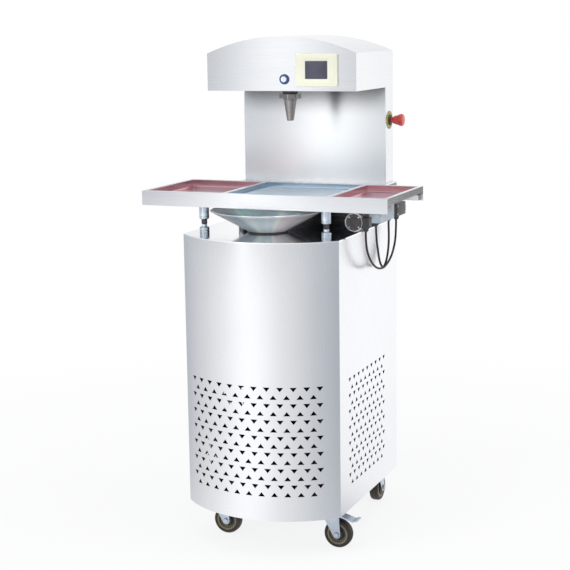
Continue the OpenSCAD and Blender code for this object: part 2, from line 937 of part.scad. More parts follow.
// The riser's path as a solid of one radius: back from the pump, up the column, forward to the nozzle
module riser_path(r, ends) {
    y0 = bowl_cy + port_len;
    rod_y(riser_x, y0 - ends, riser_y - elbow_r, z_port, r);
    translate([riser_x, riser_y - elbow_r, z_port + elbow_r])
        rotate([90, 0, 90])
            rotate([0, 0, -90])
                rotate_extrude(angle = 90)
                    translate([elbow_r, 0])
                        circle(r = r);
    translate([riser_x, riser_y, z_port + elbow_r])
        cylinder(r = r, h = z_run - z_port - 2 * elbow_r);
    translate([riser_x, riser_y, 0])
        rotate([0, 0, riser_angle]) {
            translate([0, -elbow_r, z_run - elbow_r])
                rotate([90, 0, 90])
                    rotate_extrude(angle = 90)
                        translate([elbow_r, 0])
                            circle(r = r);
            rod_y(0, elbow_r - riser_reach, -elbow_r, z_run, r);
            translate([0, elbow_r - riser_reach, z_run - elbow_r])
                rotate([90, 0, 90])
                    rotate([0, 0, 90])
                        rotate_extrude(angle = 90)
                            translate([elbow_r, 0])
                                circle(r = r);
            translate([0, -riser_reach, z_collar - ends])
                cylinder(r = r, h = z_run - elbow_r - z_collar + ends);
        }
}

module riser_pipe() {
    color("silver")
        difference() {
            riser_path(pipe_r, 0);
            riser_path(pipe_r - pipe_wall, over);
        }
}

// Plinth, column and head

module plinth() {
    color("whitesmoke")
        difference() {
            union() {
                block(-plinth_x, plinth_x, plinth_y0, plinth_y1, z_deck, z_cap);
                block(-half_w, half_w, plinth_y0 - sheet, y_back, z_cap, z_col);
            }
            block(sheet - plinth_x, plinth_x - sheet, plinth_y0 + sheet, plinth_y1 - sheet,
                  z_deck - over, z_col - sheet);
            translate([riser_x, riser_y, z_cap])
                cylinder(r = pipe_r + gap, h = cap_t + over);
        }
}

module column_front() {
    color("whitesmoke")
        block(sheet - half_col, half_col - sheet, col_y0, col_y0 + sheet, z_col, z_head);
}

// A side of the column and the head in one sheet, an upside-down L
module cheek(side) {
    translate([side > 0 ? half_col - sheet : -half_col, 0, 0])
        rotate([90, 0, 90])
            linear_extrude(height = sheet)
                polygon([[col_y0, z_col], [col_y1, z_col], [col_y1, cheek_top], [head_y0, cheek_top],
                         [head_y0, z_head], [col_y0, z_head]]);
}

module cheek_right() {
    color("gainsboro")
        difference() {
            cheek(1);
            rod_x(half_col - sheet - over, half_col + over, estop_y, estop_cz, estop_barrel_r + gap);
        }
}

module cheek_left() {
    color("gainsboro")
        cheek(-1);
}

// A plate under the arched top, standing on z0
module arched_plate(y0, z0) {
    intersection() {
        block(sheet - half_col, half_col - sheet, y0, y0 + sheet, z0, z_shoulder + arch_h);
        rod_y(0, y0 - over, y0 + sheet + over, z_arch, arch_r - sheet);
    }
}

module head_front() {
    color("whitesmoke")
        difference() {
            arched_plate(head_y0, z_head);
            block(panel_x - panel_w / 2 + panel_lip - gap, panel_x + panel_w / 2 - panel_lip + gap,
                  head_y0 - over, head_y0 + sheet + over,
                  z_panel - panel_h / 2 + panel_lip - gap, z_panel + panel_h / 2 - panel_lip + gap);
            rod_y(button_x, head_y0 - over, head_y0 + sheet + over, button_cz, button_r - button_wall + gap);
        }
}

module head_top() {
    color("whitesmoke")
        intersection() {
            difference() {
                rod_y(0, head_y0, col_y1, z_arch, arch_r);
                rod_y(0, head_y0 - over, col_y1 + over, z_arch, arch_r - sheet);
            }
            block(-half_col, half_col, head_y0, col_y1, z_head + shoulder_h / 2, z_shoulder + arch_h);
        }
}

module head_floor() {
    color("gainsboro")
        difference() {
            block(sheet - half_col, half_col - sheet, head_y0 + sheet, col_y0 + sheet,
                  z_head, z_head + sheet);
            translate([0, nozzle_cy, z_head - over])
                cylinder(r = pipe_r + gap, h = sheet + 2 * over);
        }
}

module column_back() {
    color("gainsboro")
        arched_plate(col_y1 - sheet, z_col);
}

module cover_screws() {
    x = half_col - screw_edge;
    color("silver") {
        for (sx = [-1, 1])
            for (share = screw_shares)
                rod_y(sx * x, col_y1, col_y1 + screw_head_t,
                      z_col + screw_edge + share * (z_shoulder - z_col - 2 * screw_edge), screw_head_r);
        for (sx = [-1, 1])
            for (share = screw_shares)
                rod_y(sx * x, y_back - rear_recess, y_back - rear_recess + screw_head_t,
                      z_base + screw_edge + share * (cabinet_h - 2 * screw_edge - deck_t), screw_head_r);
    }
}

// Nozzle

module nozzle_union() {
    color("dimgray")
        translate([0, nozzle_cy, z_collar])
            difference() {
                cylinder(r = collar_r + sheet, h = union_h);
                translate([0, 0, -over])
                    cylinder(r = pipe_r + gap, h = union_h + 2 * over);
            }
}

module nozzle() {
    z_cone = z_collar - collar_h;
    bore_r = pipe_r - pipe_wall;
    wing_h = collar_h * 5 / 6;
    color("silver")
        translate([0, nozzle_cy, 0])
            difference() {
                union() {
                    rotate_extrude()
                        polygon([[0, z_tip], [tip_r, z_tip], [tip_r, z_tip + sheet],
                                 [collar_r - sheet, z_cone], [collar_r, z_cone], [collar_r, z_collar],
                                 [0, z_collar]]);
                    for (a = [0, 180])
                        rotate([0, 0, a])
                            translate([0, -wing_span / 12, z_collar - wing_h])
                                cube([wing_span / 2, wing_span / 6, wing_h]);
                }
                rotate_extrude()
                    polygon([[0, z_tip - over], [outlet_r, z_tip - over], [outlet_r, z_tip + outlet_len],
                             [bore_r, z_collar], [bore_r, z_collar + over], [0, z_collar + over]]);
            }
}

// Controls

module panel_bezel() {
    x0 = panel_x - panel_w / 2;
    z0 = z_panel - panel_h / 2;
    color("ivory")
        difference() {
            union() {
                block(x0, x0 + panel_w, head_y0 - panel_t, head_y0, z0, z0 + panel_h);
                block(x0 + panel_lip, x0 + panel_w - panel_lip, head_y0, head_y0 + panel_back,
                      z0 + panel_lip, z0 + panel_h - panel_lip);
            }
            block(screen_x0 - gap, screen_x0 + screen_w + gap, head_y0 - panel_t - over,
                  head_y0 - panel_t + screen_t, z_panel - screen_h / 2 - gap, z_panel + screen_h / 2 + gap);
        }
}

module panel_screen() {
    color("darkslategray")
        block(screen_x0, screen_x0 + screen_w, head_y0 - panel_t + gap, head_y0 - panel_t + screen_t,
              z_panel - screen_h / 2, z_panel + screen_h / 2);
}

// The push button's bezel and the emergency stop's collar, each with its barrel
module switch_collars() {
    r = button_r - button_wall;
    x0 = half_col + estop_plate_t;
    color("steelblue")
        difference() {
            union() {
                rod_y(button_x, head_y0 - button_bezel_t, head_y0, button_cz, button_r);
                rod_y(button_x, head_y0, head_y0 + barrel_len, button_cz, r);
            }
            rod_y(button_x, head_y0 - button_bezel_t - over, head_y0 + barrel_len - button_wall, button_cz,
                  r - button_wall + running);
        }
    color("silver")
        difference() {
            union() {
                rod_x(x0, x0 + estop_collar_t, estop_y, estop_cz, estop_collar_r);
                rod_x(half_col - barrel_len, x0, estop_y, estop_cz, estop_barrel_r);
            }
            rod_x(half_col - barrel_len + button_wall, x0 + estop_collar_t + over, estop_y, estop_cz,
                  estop_stem_r + running);
        }
}

module button_cap() {
    color("aliceblue")
        rod_y(button_x, head_y0 - button_bezel_t - button_proud, head_y0 + barrel_len / 2, button_cz,
              button_r - 2 * button_wall);
}

module estop_plate() {
    color("goldenrod")
        difference() {
            rod_x(half_col, half_col + estop_plate_t, estop_y, estop_cz, estop_plate_r);
            rod_x(half_col - over, half_col + estop_plate_t + over, estop_y, estop_cz, estop_barrel_r + gap);
        }
}

module estop_knob() {
    x0 = half_col + estop_plate_t + estop_collar_t + estop_head_gap;
    rim = estop_r - estop_round;
    color("firebrick") {
        rod_x(half_col - barrel_len / 2, x0 + over, estop_y, estop_cz, estop_stem_r);
        translate([x0, estop_y, estop_cz])
            rotate([0, 90, 0])
                rotate_extrude() {
                    polygon([[0, 0], [estop_neck_r, 0], [estop_r, estop_head_t - 2 * estop_round],
                             [estop_r, estop_head_t - estop_round], [rim, estop_head_t], [0, estop_head_t]]);
                }
    }
}

// Vibration mounts

module mount_feet() {
    color("powderblue")
        for (p = mount_places)
            translate([p[0], p[1], z_deck]) {
                cylinder(r = mount_d / 2, h = foot_h - mount_chamfer);
                translate([0, 0, foot_h - mount_chamfer])
                    cylinder(r1 = mount_d / 2, r2 = mount_d / 2 - mount_chamfer, h = mount_chamfer);
                translate([0, 0, foot_h])
                    cylinder(r = neck_d / 2, h = neck_h);
            }
}

module isolators() {
    color("black")
        for (p = mount_places)
            translate([p[0], p[1], z_rubber])
                cylinder(r = rubber_d / 2, h = rubber_h);
}

module mount_sleeves() {
    color("powderblue")
        for (p = mount_places)
            translate([p[0], p[1], z_sleeve]) {
                cylinder(r1 = mount_d / 2 - mount_chamfer, r2 = mount_d / 2, h = mount_chamfer);
                translate([0, 0, mount_chamfer])
                    cylinder(r = mount_d / 2, h = z_rail - rail_h - z_sleeve - mount_chamfer);
            }
}

// Table

module table_frame() {
    color("whitesmoke") {
        difference() {
            block(-table_x, table_x, table_y0, table_y1, z_apron, z_table);
            block(sheet - table_x, table_x - sheet, table_y0 + sheet, table_y1 - sheet,
                  z_apron - over, z_table - sheet);
            block(-table_x - over, table_x + over, table_y0 + sheet, table_y1 - sheet,
                  z_apron - over, z_table - end_lip_h);
            for (i = [0, 2, 4])
                block(pan_edges[i], pan_edges[i + 1], pan_y0, pan_y1, z_table - sheet - over, z_table + over);
        }
        block(sheet - table_x, table_x - sheet, table_y0 + sheet / 2, y_corner + mount_front_y + rail_w / 2,
              z_rail - rail_h, z_rail);
        block(sheet - table_x, table_x - sheet, y_corner + mount_rear_y - rail_w / 2, table_y1 - sheet / 2,
              z_rail - rail_h, z_rail);
        difference() {
            block(wing_plate_x0, wing_plate_x1, y_corner + mount_front_y - rail_w / 2,
                  y_corner + mount_rear_y + rail_w / 2, z_apron, z_apron + wing_plate_t);
            for (p = mount_places)
                translate([p[0], p[1], z_apron - over])
                    cylinder(r = mount_d / 2 + gap, h = wing_plate_t + over);
        }
    }
}

module left_pan() {
    color("mistyrose")
        pan(pan_edges[0], pan_edges[1]);
}

module right_pan() {
    color("mistyrose")
        pan(pan_edges[4], pan_edges[5]);
}

module drip_pan() {
    color("lightblue")
        difference() {
            union() {
                pan(pan_edges[2], pan_edges[3]);
                translate([bowl_x, bowl_cy, z_rail - drain_drop])
                    cylinder(r = drain_r + sheet, h = drain_drop + sheet);
            }
            translate([bowl_x, bowl_cy, z_rail - drain_drop - over])
                cylinder(r = drain_r, h = drain_drop + sheet + 2 * over);
        }
}

// The lift-out grid: a square frame with rods from side to side
module grid() {
    x0 = pan_edges[2] + grid_margin;
    x1 = pan_edges[3] - grid_margin;
    y0 = pan_y0 + grid_margin;
    y1 = pan_y1 - grid_margin;
    z0 = z_pan + gap;
    rods = floor((y1 - y0 - 2 * grid_frame) / rod_pitch);
    step = (y1 - y0 - grid_frame) / (rods + 1);
    color("lightblue") {
        difference() {
            block(x0, x1, y0, y1, z0, z0 + grid_frame);
            block(x0 + grid_frame, x1 - grid_frame, y0 + grid_frame, y1 - grid_frame,
                  z0 - over, z0 + grid_frame + over);
        }
        for (i = [1:rods])
            rod_x(x0 + grid_frame / 2, x1 - grid_frame / 2, y0 + grid_frame / 2 + i * step,
                  z0 + grid_frame - rod_d / 2, rod_d / 2);
    }
}

// Vibrator and cable boxes

module vibrator_housing() {
    y1 = vib_y0 + vib_len;
    foot_y = vib_len * (1 - vib_foot_share) / 2;
    color("gray")
        difference() {
            union() {
                rod_y(vib_x, vib_y0, y1, vib_z, vib_r);
                rod_y(vib_x, vib_y0, vib_y0 + vib_cap_t, vib_z, vib_r + vib_cap_lip);
                rod_y(vib_x, y1 - vib_cap_t, y1, vib_z, vib_r + vib_cap_lip);
                block(vib_x - vib_foot_w / 2, vib_x + vib_foot_w / 2, vib_y0 + foot_y, y1 - foot_y,
                      vib_z, z_apron);
                block(term_x0, term_x0 + term_side, vib_y0, vib_y0 + term_side,
                      z_box, vib_z + term_drop);
            }
            rod_y(vib_x, vib_y0 + vib_cap_t, y1 - vib_cap_t, vib_z, vib_r - vib_wall);
            rod_y(vib_x, vib_y0 + vib_wall, y1 - vib_wall, vib_z, vib_shaft_r + running);
        }
    color("dimgray")
        gland(outer_x, outer_y0, z_box);
}

// The shaft with half-round weights near its ends
module vibrator_rotor() {
    y0 = vib_y0 + vib_wall + gap;
    y1 = vib_y0 + vib_len - vib_wall - gap;
    r = vib_r - vib_wall - weight_gap;
    color("silver") {
        rod_y(vib_x, y0, y1, vib_z, vib_shaft_r);
        for (y = [vib_y0 + vib_cap_t + weight_gap, vib_y0 + vib_len - vib_cap_t - weight_gap - weight_t])
            intersection() {
                rod_y(vib_x, y, y + weight_t, vib_z, r);
                block(vib_x - r, vib_x + r, y, y + weight_t, vib_z - r, vib_z);
            }
    }
}

module junction_box() {
    color("slategray") {
        block(box_x0, box_x1, box_y0, box_y1, z_box, z_apron);
        block(box_x1, box_x1 + box_lid_t, box_y0 + box_lid_lip, box_y1 - box_lid_lip,
              z_box + box_lid_lip, z_apron - box_lid_lip);
    }
    color("dimgray")
        gland(inner_x, inner_y0, z_box);
}

module rear_cable_box() {
    y1 = rear_box_y0 + rear_box_len;
    color("slategray") {
        block(plinth_x, box_x1, rear_box_y0, y1, z_box, z_box + rear_box_h);
        block(box_x1, box_x1 + box_lid_t, rear_box_y0 + box_lid_lip, y1 - box_lid_lip,
              z_box + box_lid_lip, z_box + rear_box_h - box_lid_lip);
    }
    color("dimgray") {
        gland(outer_x, outer_y1, z_box);
        gland(inner_x, inner_y1, z_box);
    }
}

module cable_outer() {
    color("black")
        cable(outer_route);
}

module cable_inner() {
    color("black")
        cable(inner_route);
}

// Cooling, control box and inlet

module compressor() {
    r = compressor_r;
    h = compressor_h;
    c = compressor_round;
    color("black")
        translate([compressor_x, compressor_y, z_floor]) {
            translate([-r, -r, 0])
                cube([2 * r, 2 * r, compressor_foot]);
            rotate_extrude()
                polygon([[0, 0], [r - c, compressor_foot], [r, compressor_foot + c], [r, h - c],
                         [r - c, h], [0, h]]);
        }
}

module condenser() {
    x = condenser_w / 2;
    y0 = condenser_y0;
    y1 = y0 + condenser_d;
    z1 = z_floor + condenser_h;
    f = condenser_frame;
    bar_y = y1 + shroud_t + fan_hub_t + fan_back;
    color("gray") {
        difference() {
            block(-x, x, y0, y1, z_floor, z1);
            block(f - x, x - f, y0 - over, y1 + over, z_floor + f, z1 - f);
        }
        for (i = [1:fin_count])
            translate([f - x + i * (condenser_w - 2 * f) / (fin_count + 1) - fin_t / 2, y0, z_floor + f / 2])
                cube([fin_t, condenser_d, condenser_h - f]);
        difference() {
            block(-x, x, y1, y1 + shroud_t, z_floor, z1);
            rod_y(0, y1 - over, y1 + shroud_t + over, fan_z, fan_r + fan_clear);
        }
        for (s = [-1, 1])
            translate([s > 0 ? x - shroud_t : -x, y1, fan_z - fan_bar_h / 2])
                cube([shroud_t, bar_y + fan_bar_t - y1, fan_bar_h]);
        difference() {
            union() {
                block(-x, x, bar_y, bar_y + fan_bar_t, fan_z - fan_bar_h / 2, fan_z + fan_bar_h / 2);
                rod_y(0, bar_y, bar_y + fan_motor_len, fan_z, fan_motor_r);
            }
            rod_y(0, bar_y - over, bar_y + fan_motor_len / 2, fan_z, fan_shaft_r + running);
        }
    }
}

module fan() {
    y0 = condenser_y0 + condenser_d + shroud_t;
    color("dimgray") {
        rod_y(0, y0, y0 + fan_hub_t, fan_z, fan_hub_r);
        rod_y(0, y0, y0 + fan_hub_t + fan_back + fan_motor_len / 4, fan_z, fan_shaft_r);
        for (i = [0:fan_blades_n - 1])
            translate([0, y0 + fan_hub_t / 2, fan_z])
                rotate([0, i * 360 / fan_blades_n, 0])
                    translate([fan_hub_r / 2, 0, 0])
                        rotate([blade_pitch, 0, 0])
                            translate([0, -blade_t / 2, -fan_hub_r / 2])
                                cube([fan_r - fan_hub_r / 2, blade_t, fan_hub_r]);
    }
}

module control_box() {
    x0 = sheet - half_w;
    color("lightgray") {
        block(x0, x0 + control_w, control_y0, control_y0 + control_d, control_z0, control_z0 + control_h);
        block(x0 + control_w, x0 + control_w + control_lid_t, control_y0 - control_lid_t,
              control_y0 + control_d + control_lid_t, control_z0 - control_lid_t,
              control_z0 + control_h + control_lid_t);
    }
}

module power_inlet() {
    y1 = y_back - rear_recess;
    color("black")
        difference() {
            union() {
                block(inlet_x - inlet_side / 2, inlet_x + inlet_side / 2, y1, y1 + inlet_t,
                      inlet_z - inlet_side / 2, inlet_z + inlet_side / 2);
                rod_y(inlet_x, y1 - inlet_depth, y1, inlet_z, inlet_r);
            }
            difference() {
                rod_y(inlet_x, y1 - inlet_depth + inlet_ring, y1 + inlet_t + over, inlet_z,
                      inlet_r - inlet_ring);
                for (a = [90, 210, 330])
                    rod_y(inlet_x + inlet_r / 2 * cos(a), y1 - inlet_depth, y1 - inlet_pin_back,
                          inlet_z + inlet_r / 2 * sin(a), inlet_pin_r);
            }
        }
}

base_plate();
corner_posts();
deck();
front_panel();
side_panel_right();
side_panel_left();
rear_panel();
caster_plates();
tank_bowl();
tank_heater();
pump_housing();
pump_motor();
riser_pipe();
compressor();
condenser();
control_box();
plinth();
column_front();
cheek_right();
cheek_left();
head_front();
head_top();
head_floor();
column_back();
nozzle_union();
nozzle();
panel_bezel();
panel_screen();
switch_collars();
estop_plate();
mount_feet();
isolators();
rear_cable_box();
power_inlet();
cable_outer();
cable_inner();
cover_screws();
table_frame();
left_pan();
right_pan();
drip_pan();
mount_sleeves();
vibrator_housing();
junction_box();
grid();
vibrator_rotor();
fan();
pump_screw();
button_cap();
estop_knob();
fork_front_right();
fork_front_left();
fork_rear_right();
fork_rear_left();
wheel_front_right();
wheel_front_left();
wheel_rear_right();
wheel_rear_left();
brake_pedal_right();
brake_pedal_left();
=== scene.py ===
import bmesh
import bpy
import numpy as np
from mathutils import Matrix, Vector
from mathutils.geometry import delaunay_2d_cdt


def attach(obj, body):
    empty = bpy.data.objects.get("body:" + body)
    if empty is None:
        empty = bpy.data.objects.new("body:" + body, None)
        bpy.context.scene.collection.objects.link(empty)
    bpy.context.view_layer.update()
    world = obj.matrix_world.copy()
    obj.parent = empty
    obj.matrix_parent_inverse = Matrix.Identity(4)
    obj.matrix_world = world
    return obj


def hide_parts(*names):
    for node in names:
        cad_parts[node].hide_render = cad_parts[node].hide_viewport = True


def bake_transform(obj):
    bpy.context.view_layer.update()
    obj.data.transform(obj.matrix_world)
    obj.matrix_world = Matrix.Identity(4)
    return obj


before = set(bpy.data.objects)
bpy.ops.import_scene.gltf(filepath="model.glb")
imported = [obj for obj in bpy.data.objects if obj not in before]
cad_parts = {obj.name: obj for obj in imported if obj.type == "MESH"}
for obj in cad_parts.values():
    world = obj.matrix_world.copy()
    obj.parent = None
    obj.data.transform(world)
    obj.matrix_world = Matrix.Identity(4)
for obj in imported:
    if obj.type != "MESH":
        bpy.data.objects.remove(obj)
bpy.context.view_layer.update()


# Camera
# The machine is seen from standing eye height, a little to the right of its front,
# with a long lens that keeps its uprights nearly parallel.
def stand(name, data, right, up, back, at):
    """An object with the given axes, at a point."""
    made = bpy.data.objects.new(name, data)
    axes = np.stack([right, up, back, at], axis=1)
    made.matrix_world = Matrix(np.vstack([axes, [0, 0, 0, 1]]).tolist())
    bpy.context.scene.collection.objects.link(made)
    return made


eye = np.array([1.5176, -3.6860, 1.4262])
yaw, pitch, roll = np.radians([22.578, 10.308, -0.798])
look = np.array([-np.sin(yaw) * np.cos(pitch), np.cos(yaw) * np.cos(pitch), -np.sin(pitch)])
level = np.array([np.cos(yaw), np.sin(yaw), 0.0])
rise = np.cross(level, look)
camera = stand("camera", bpy.data.cameras.new("camera"), level * np.cos(roll) + rise * np.sin(roll),
               rise * np.cos(roll) - level * np.sin(roll), -look, eye)
camera.data.sensor_width = 36.0
camera.data.lens = 90.22
bpy.context.scene.camera = camera
bpy.context.scene.view_settings.view_transform = "Standard"


# Cables
# Two rubber flexes hang in loops beside the cabinet, from the glands under the table's vibrator and
# junction box to the glands of the box behind, so that the shaking table never pulls on them.
def add_mesh(name, verts, faces, marks, finishes, body, crease):
    """One object of points and faces, each face with the number of its finish. Doubled points are merged,
    faces are turned outwards, and edges sharper than crease degrees stay sharp."""
    mesh = bpy.data.meshes.new(name)
    mesh.from_pydata(verts.tolist(), [], faces)
    mesh.polygons.foreach_set("material_index", marks.astype(np.int32))
    work = bmesh.new()
    work.from_mesh(mesh)
    bmesh.ops.remove_doubles(work, verts=work.verts, dist=2e-6)
    bmesh.ops.dissolve_degenerate(work, edges=work.edges, dist=1e-7)
    bmesh.ops.recalc_face_normals(work, faces=work.faces)
    work.to_mesh(mesh)
    work.free()
    mesh.polygons.foreach_set("use_smooth", np.ones(len(mesh.polygons), bool))
    mesh.set_sharp_from_angle(angle=np.radians(crease))
    for finish in finishes:
        mesh.materials.append(finish)
    piece = bpy.data.objects.new(name, mesh)
    bpy.context.scene.collection.objects.link(piece)
    if body:
        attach(piece, body)
    return piece


def add_piece(name, patches, finishes, body, crease=40.0):
    """One mesh of several patches. A patch is a grid of points, rows by columns, whose columns close into
    rings, with the number of its finish."""
    verts, faces, marks, start = [], [], [], 0
    for points, mark in patches:
        rows, cols = points.shape[:2]
        index = start + np.arange(rows * cols).reshape(rows, cols)
        index = np.concatenate([index, index[:, :1]], axis=1)
        quads = np.stack([index[:-1, :-1], index[:-1, 1:], index[1:, 1:], index[1:, :-1]], -1).reshape(-1, 4)
        verts.append(points.reshape(-1, 3))
        faces.append(quads)
        marks.append(np.full(len(quads), mark))
        start += rows * cols
    return add_mesh(name, np.concatenate(verts), np.concatenate(faces).tolist(), np.concatenate(marks),
                    finishes, body, crease)


def output(source):
    """A node's first output in use, or the socket itself."""
    return next(o for o in source.outputs if o.enabled) if hasattr(source, "outputs") else source


def wiring(tree):
    """A function that adds a node to a tree. links gives the nodes or sockets that feed it, as a list in the
    order of its inputs or by their names. A setting that starts with in_ is the value of an input."""
    def add(kind, links=(), **settings):
        made = tree.nodes.new("ShaderNode" + kind)
        for key, value in settings.items():
            if key.startswith("in_"):
                socket = key[3:].replace("_", " ")
                made.inputs[int(socket) if socket.isdigit() else socket].default_value = value
            else:
                setattr(made, key, value)
        for socket, source in links.items() if isinstance(links, dict) else enumerate(links):
            tree.links.new(output(source), made.inputs[socket])
        return made

    return add


def shader(name):
    """A new material with its node tree, its Principled shader and a way to add nodes."""
    finish = bpy.data.materials.new(name)
    finish.use_nodes = True
    tree = finish.node_tree
    return finish, tree, tree.nodes["Principled BSDF"], wiring(tree)


def feed(tree, bsdf, colour, gloss, dents, metal):
    """Wires a Principled shader's colour, roughness and normal, and sets how metallic it is."""
    bsdf.inputs["Metallic"].default_value = metal
    for source, socket in ((colour, "Base Color"), (gloss, "Roughness"), (dents, "Normal")):
        tree.links.new(output(source), bsdf.inputs[socket])


def speckled(name, colour, second, rough, size, bump, metal=0.0, coat=0.0):
    """A moulded, cast or painted finish: two tones mixed by noise of one size, with a fine bump and a gloss
    that varies with the same noise."""
    finish, tree, bsdf, add = shader(name)
    place = add("TexCoord").outputs["Object"]
    noise = add("TexNoise", [place], in_Scale=1.0 / size, in_Detail=4.0, in_Roughness=0.6)
    tone = add("Mix", [noise], data_type="RGBA", in_A=(*colour, 1), in_B=(*second, 1))
    gloss = add("MapRange", [noise], in_To_Min=max(rough - 0.07, 0.02), in_To_Max=min(rough + 0.07, 1.0))
    dents = add("Bump", {"Height": noise}, in_Strength=bump, in_Distance=0.0004)
    feed(tree, bsdf, tone, gloss, dents, metal)
    bsdf.inputs["Coat Weight"].default_value = coat
    return finish


def smooth_route(points, steps):
    """A Catmull-Rom curve: between two points, the cubic whose slope at each is half the step between its
    neighbours."""
    p = np.vstack([2 * points[0] - points[1], points, 2 * points[-1] - points[-2]])
    t = (np.arange(steps) / steps)[None, :, None]
    a, b, c, d = (p[i:len(p) - 3 + i, None, :] for i in range(4))
    square, cube = 2 * a - 5 * b + 4 * c - d, 3 * b - a - 3 * c + d
    curve = 0.5 * (2 * b + (c - a) * t + square * t ** 2 + cube * t ** 3)
    return np.vstack([curve.reshape(-1, 3), points[-1:]])


def tube(path, radius, sides):
    """A ring about each point of a path that lies in a plane of constant x: the ring's axes are X and the
    path's normal in that plane. Both ends close to a point."""
    t = np.gradient(path, axis=0)
    t /= np.linalg.norm(t, axis=1)[:, None]
    normal = np.stack([np.zeros(len(t)), -t[:, 2], t[:, 1]], axis=1)
    a = np.arange(sides) * 2 * np.pi / sides
    ring = np.cos(a)[None, :, None] * np.array([1.0, 0, 0]) + np.sin(a)[None, :, None] * normal[:, None, :]
    rings = path[:, None, :] + radius * ring
    ends = [np.repeat(path[i][None, None, :], sides, axis=1) for i in (0, -1)]
    return np.concatenate([ends[0], rings, ends[1]])


flex_rubber = speckled("flex_rubber", (0.009, 0.006, 0.007), (0.028, 0.014, 0.013), 0.58, 0.006, 0.15)
flex_d = 0.006
outer_ends = np.array([[0.258, -0.085, 0.880], [0.258, 0.17701, 0.880]])
inner_ends = np.array([[0.24702, 0.03229, 0.880], [0.24702, 0.14216, 0.880]])
outer_shares = np.array([[0, 0], [0, 0.11], [0.005, 0.22], [0.02, 0.35], [0.05, 0.48], [0.1, 0.61],
                         [0.17, 0.735], [0.26, 0.855], [0.365, 0.945], [0.47, 0.99], [0.58, 1], [0.68, 0.96],
                         [0.775, 0.89], [0.855, 0.79], [0.915, 0.67], [0.96, 0.535], [0.985, 0.385],
                         [0.995, 0.24], [1, 0.11], [1, 0]])
inner_shares = np.array([[0, 0], [0, 0.11], [0.02, 0.23], [0.06, 0.39], [0.13, 0.54], [0.2, 0.7],
                         [0.29, 0.84], [0.41, 0.945], [0.545, 1], [0.68, 0.975], [0.8, 0.9], [0.9, 0.785],
                         [0.97, 0.65], [1.01, 0.51], [1.02, 0.37], [1.01, 0.23], [1, 0.11], [1, 0]])
for name, ends, shares, drop in (("cable_outer", outer_ends, outer_shares, 0.125),
                                 ("cable_inner", inner_ends, inner_shares, 0.129)):
    route = ends[0] + shares[:, :1] * (ends[1] - ends[0]) - shares[:, 1:] * np.array([0, 0, drop])
    centre = smooth_route(route, 6)
    flex = add_piece("flex_" + name, [(tube(centre, flex_d / 2, 14), 0)], [flex_rubber], "cabinet")
    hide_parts(name)

# Studio
# A plain pale floor, a white surround, large soft lamps above and to both sides, and two small ones in front.
# A round wall of paper close to the machine, brighter in front of it and greyer at the sides, and a dark card
# beside the table's right end show only in the polished sheet.
world = bpy.data.worlds.new("surround")
world.use_nodes = True
bpy.context.scene.world = world
sky = world.node_tree
add = wiring(sky)
rays = add("LightPath").outputs
seen = add("Math", [rays["Is Camera Ray"], rays["Is Glossy Ray"]], operation="MAXIMUM")
shown = add("Math", [seen, rays["Is Transmission Ray"]], operation="MAXIMUM")
white = sky.nodes["Background"]
white.inputs["Color"].default_value = (1, 1, 1, 1)
white.inputs["Strength"].default_value = 1.0
fill = add("Background", in_Color=(0.95, 0.97, 1, 1), in_Strength=0.5)
choose = add("MixShader", [shown, fill, white])
sky.links.new(choose.outputs[0], sky.nodes["World Output"].inputs["Surface"])

# Brightness of the paper by the bearing from the machine, in degrees from straight ahead towards the right
paper_low = [(-180, 1.0), (-157, 1.08), (-118, 0.64), (-90, 0.78), (-63, 0.98), (-42, 1.18), (-24, 1.40),
             (-6, 1.38), (10, 1.14), (27, 0.97), (43, 0.80), (61, 0.66), (76, 0.58), (100, 0.75), (125, 1.10),
             (145, 1.32), (165, 1.2), (180, 1.0)]
paper_high = [(-180, 1.0), (-157, 1.08), (-118, 0.62), (-60, 0.60), (-40, 0.56), (-32, 0.62), (-27, 0.98),
              (-21.5, 2.0), (-17, 1.10), (-12, 0.76), (0, 0.72), (40, 0.72), (75, 0.66), (110, 0.80),
              (135, 1.25), (147, 1.35), (156, 1.1), (180, 1.0)]
full_paper, paper_turn = 2.1, (0.60, 0.87)


def ramped(add, share, stops, curve="LINEAR"):
    """A ramp of colours over a share, with a colour at each of its stops."""
    ramp = add("ValToRGB", [share])
    ramp.color_ramp.interpolation = curve
    marks = ramp.color_ramp.elements
    for place, colour in stops[1:-1]:
        marks.new(place)
    for mark, (place, colour) in zip(marks, stops):
        mark.position = place
        mark.color = (*colour, 1)
    return ramp


def paper_tone(brightness):
    """The paper's colour as a part of its full brightness. Greyer paper is a little bluer."""
    blue = 0.16 * max(1 - brightness, 0)
    return [c * brightness / full_paper for c in (1 - blue, 1 - 0.1 * blue, 1 + blue)]


def paper(add):
    """The paper's light at a place: two ramps over the bearing atan2(x, -y), one low and one high up, mixed
    by the height."""
    place = add("TexCoord").outputs["Object"]
    apart = add("SeparateXYZ", [place]).outputs
    ahead = add("Math", [apart["Y"]], operation="MULTIPLY", in_1=-1.0)
    bearing = add("Math", [apart["X"], ahead], operation="ARCTAN2")
    share = add("MapRange", [bearing], in_From_Min=-np.pi, in_From_Max=np.pi)
    low, high = (ramped(add, share, [((a + 180) / 360, paper_tone(b)) for a, b in stops], "CARDINAL")
                 for stops in (paper_low, paper_high))
    height = add("MapRange", [apart["Z"]], interpolation_type="SMOOTHSTEP", in_From_Min=paper_turn[0],
                 in_From_Max=paper_turn[1])
    tone = add("Mix", {"Factor": height, "A": low, "B": high}, data_type="RGBA")
    return add("Emission", [tone], in_Strength=full_paper)


def card(add):
    """The dark card's even glow."""
    return add("Emission", in_Color=(0.28, 0.28, 0.28, 1))


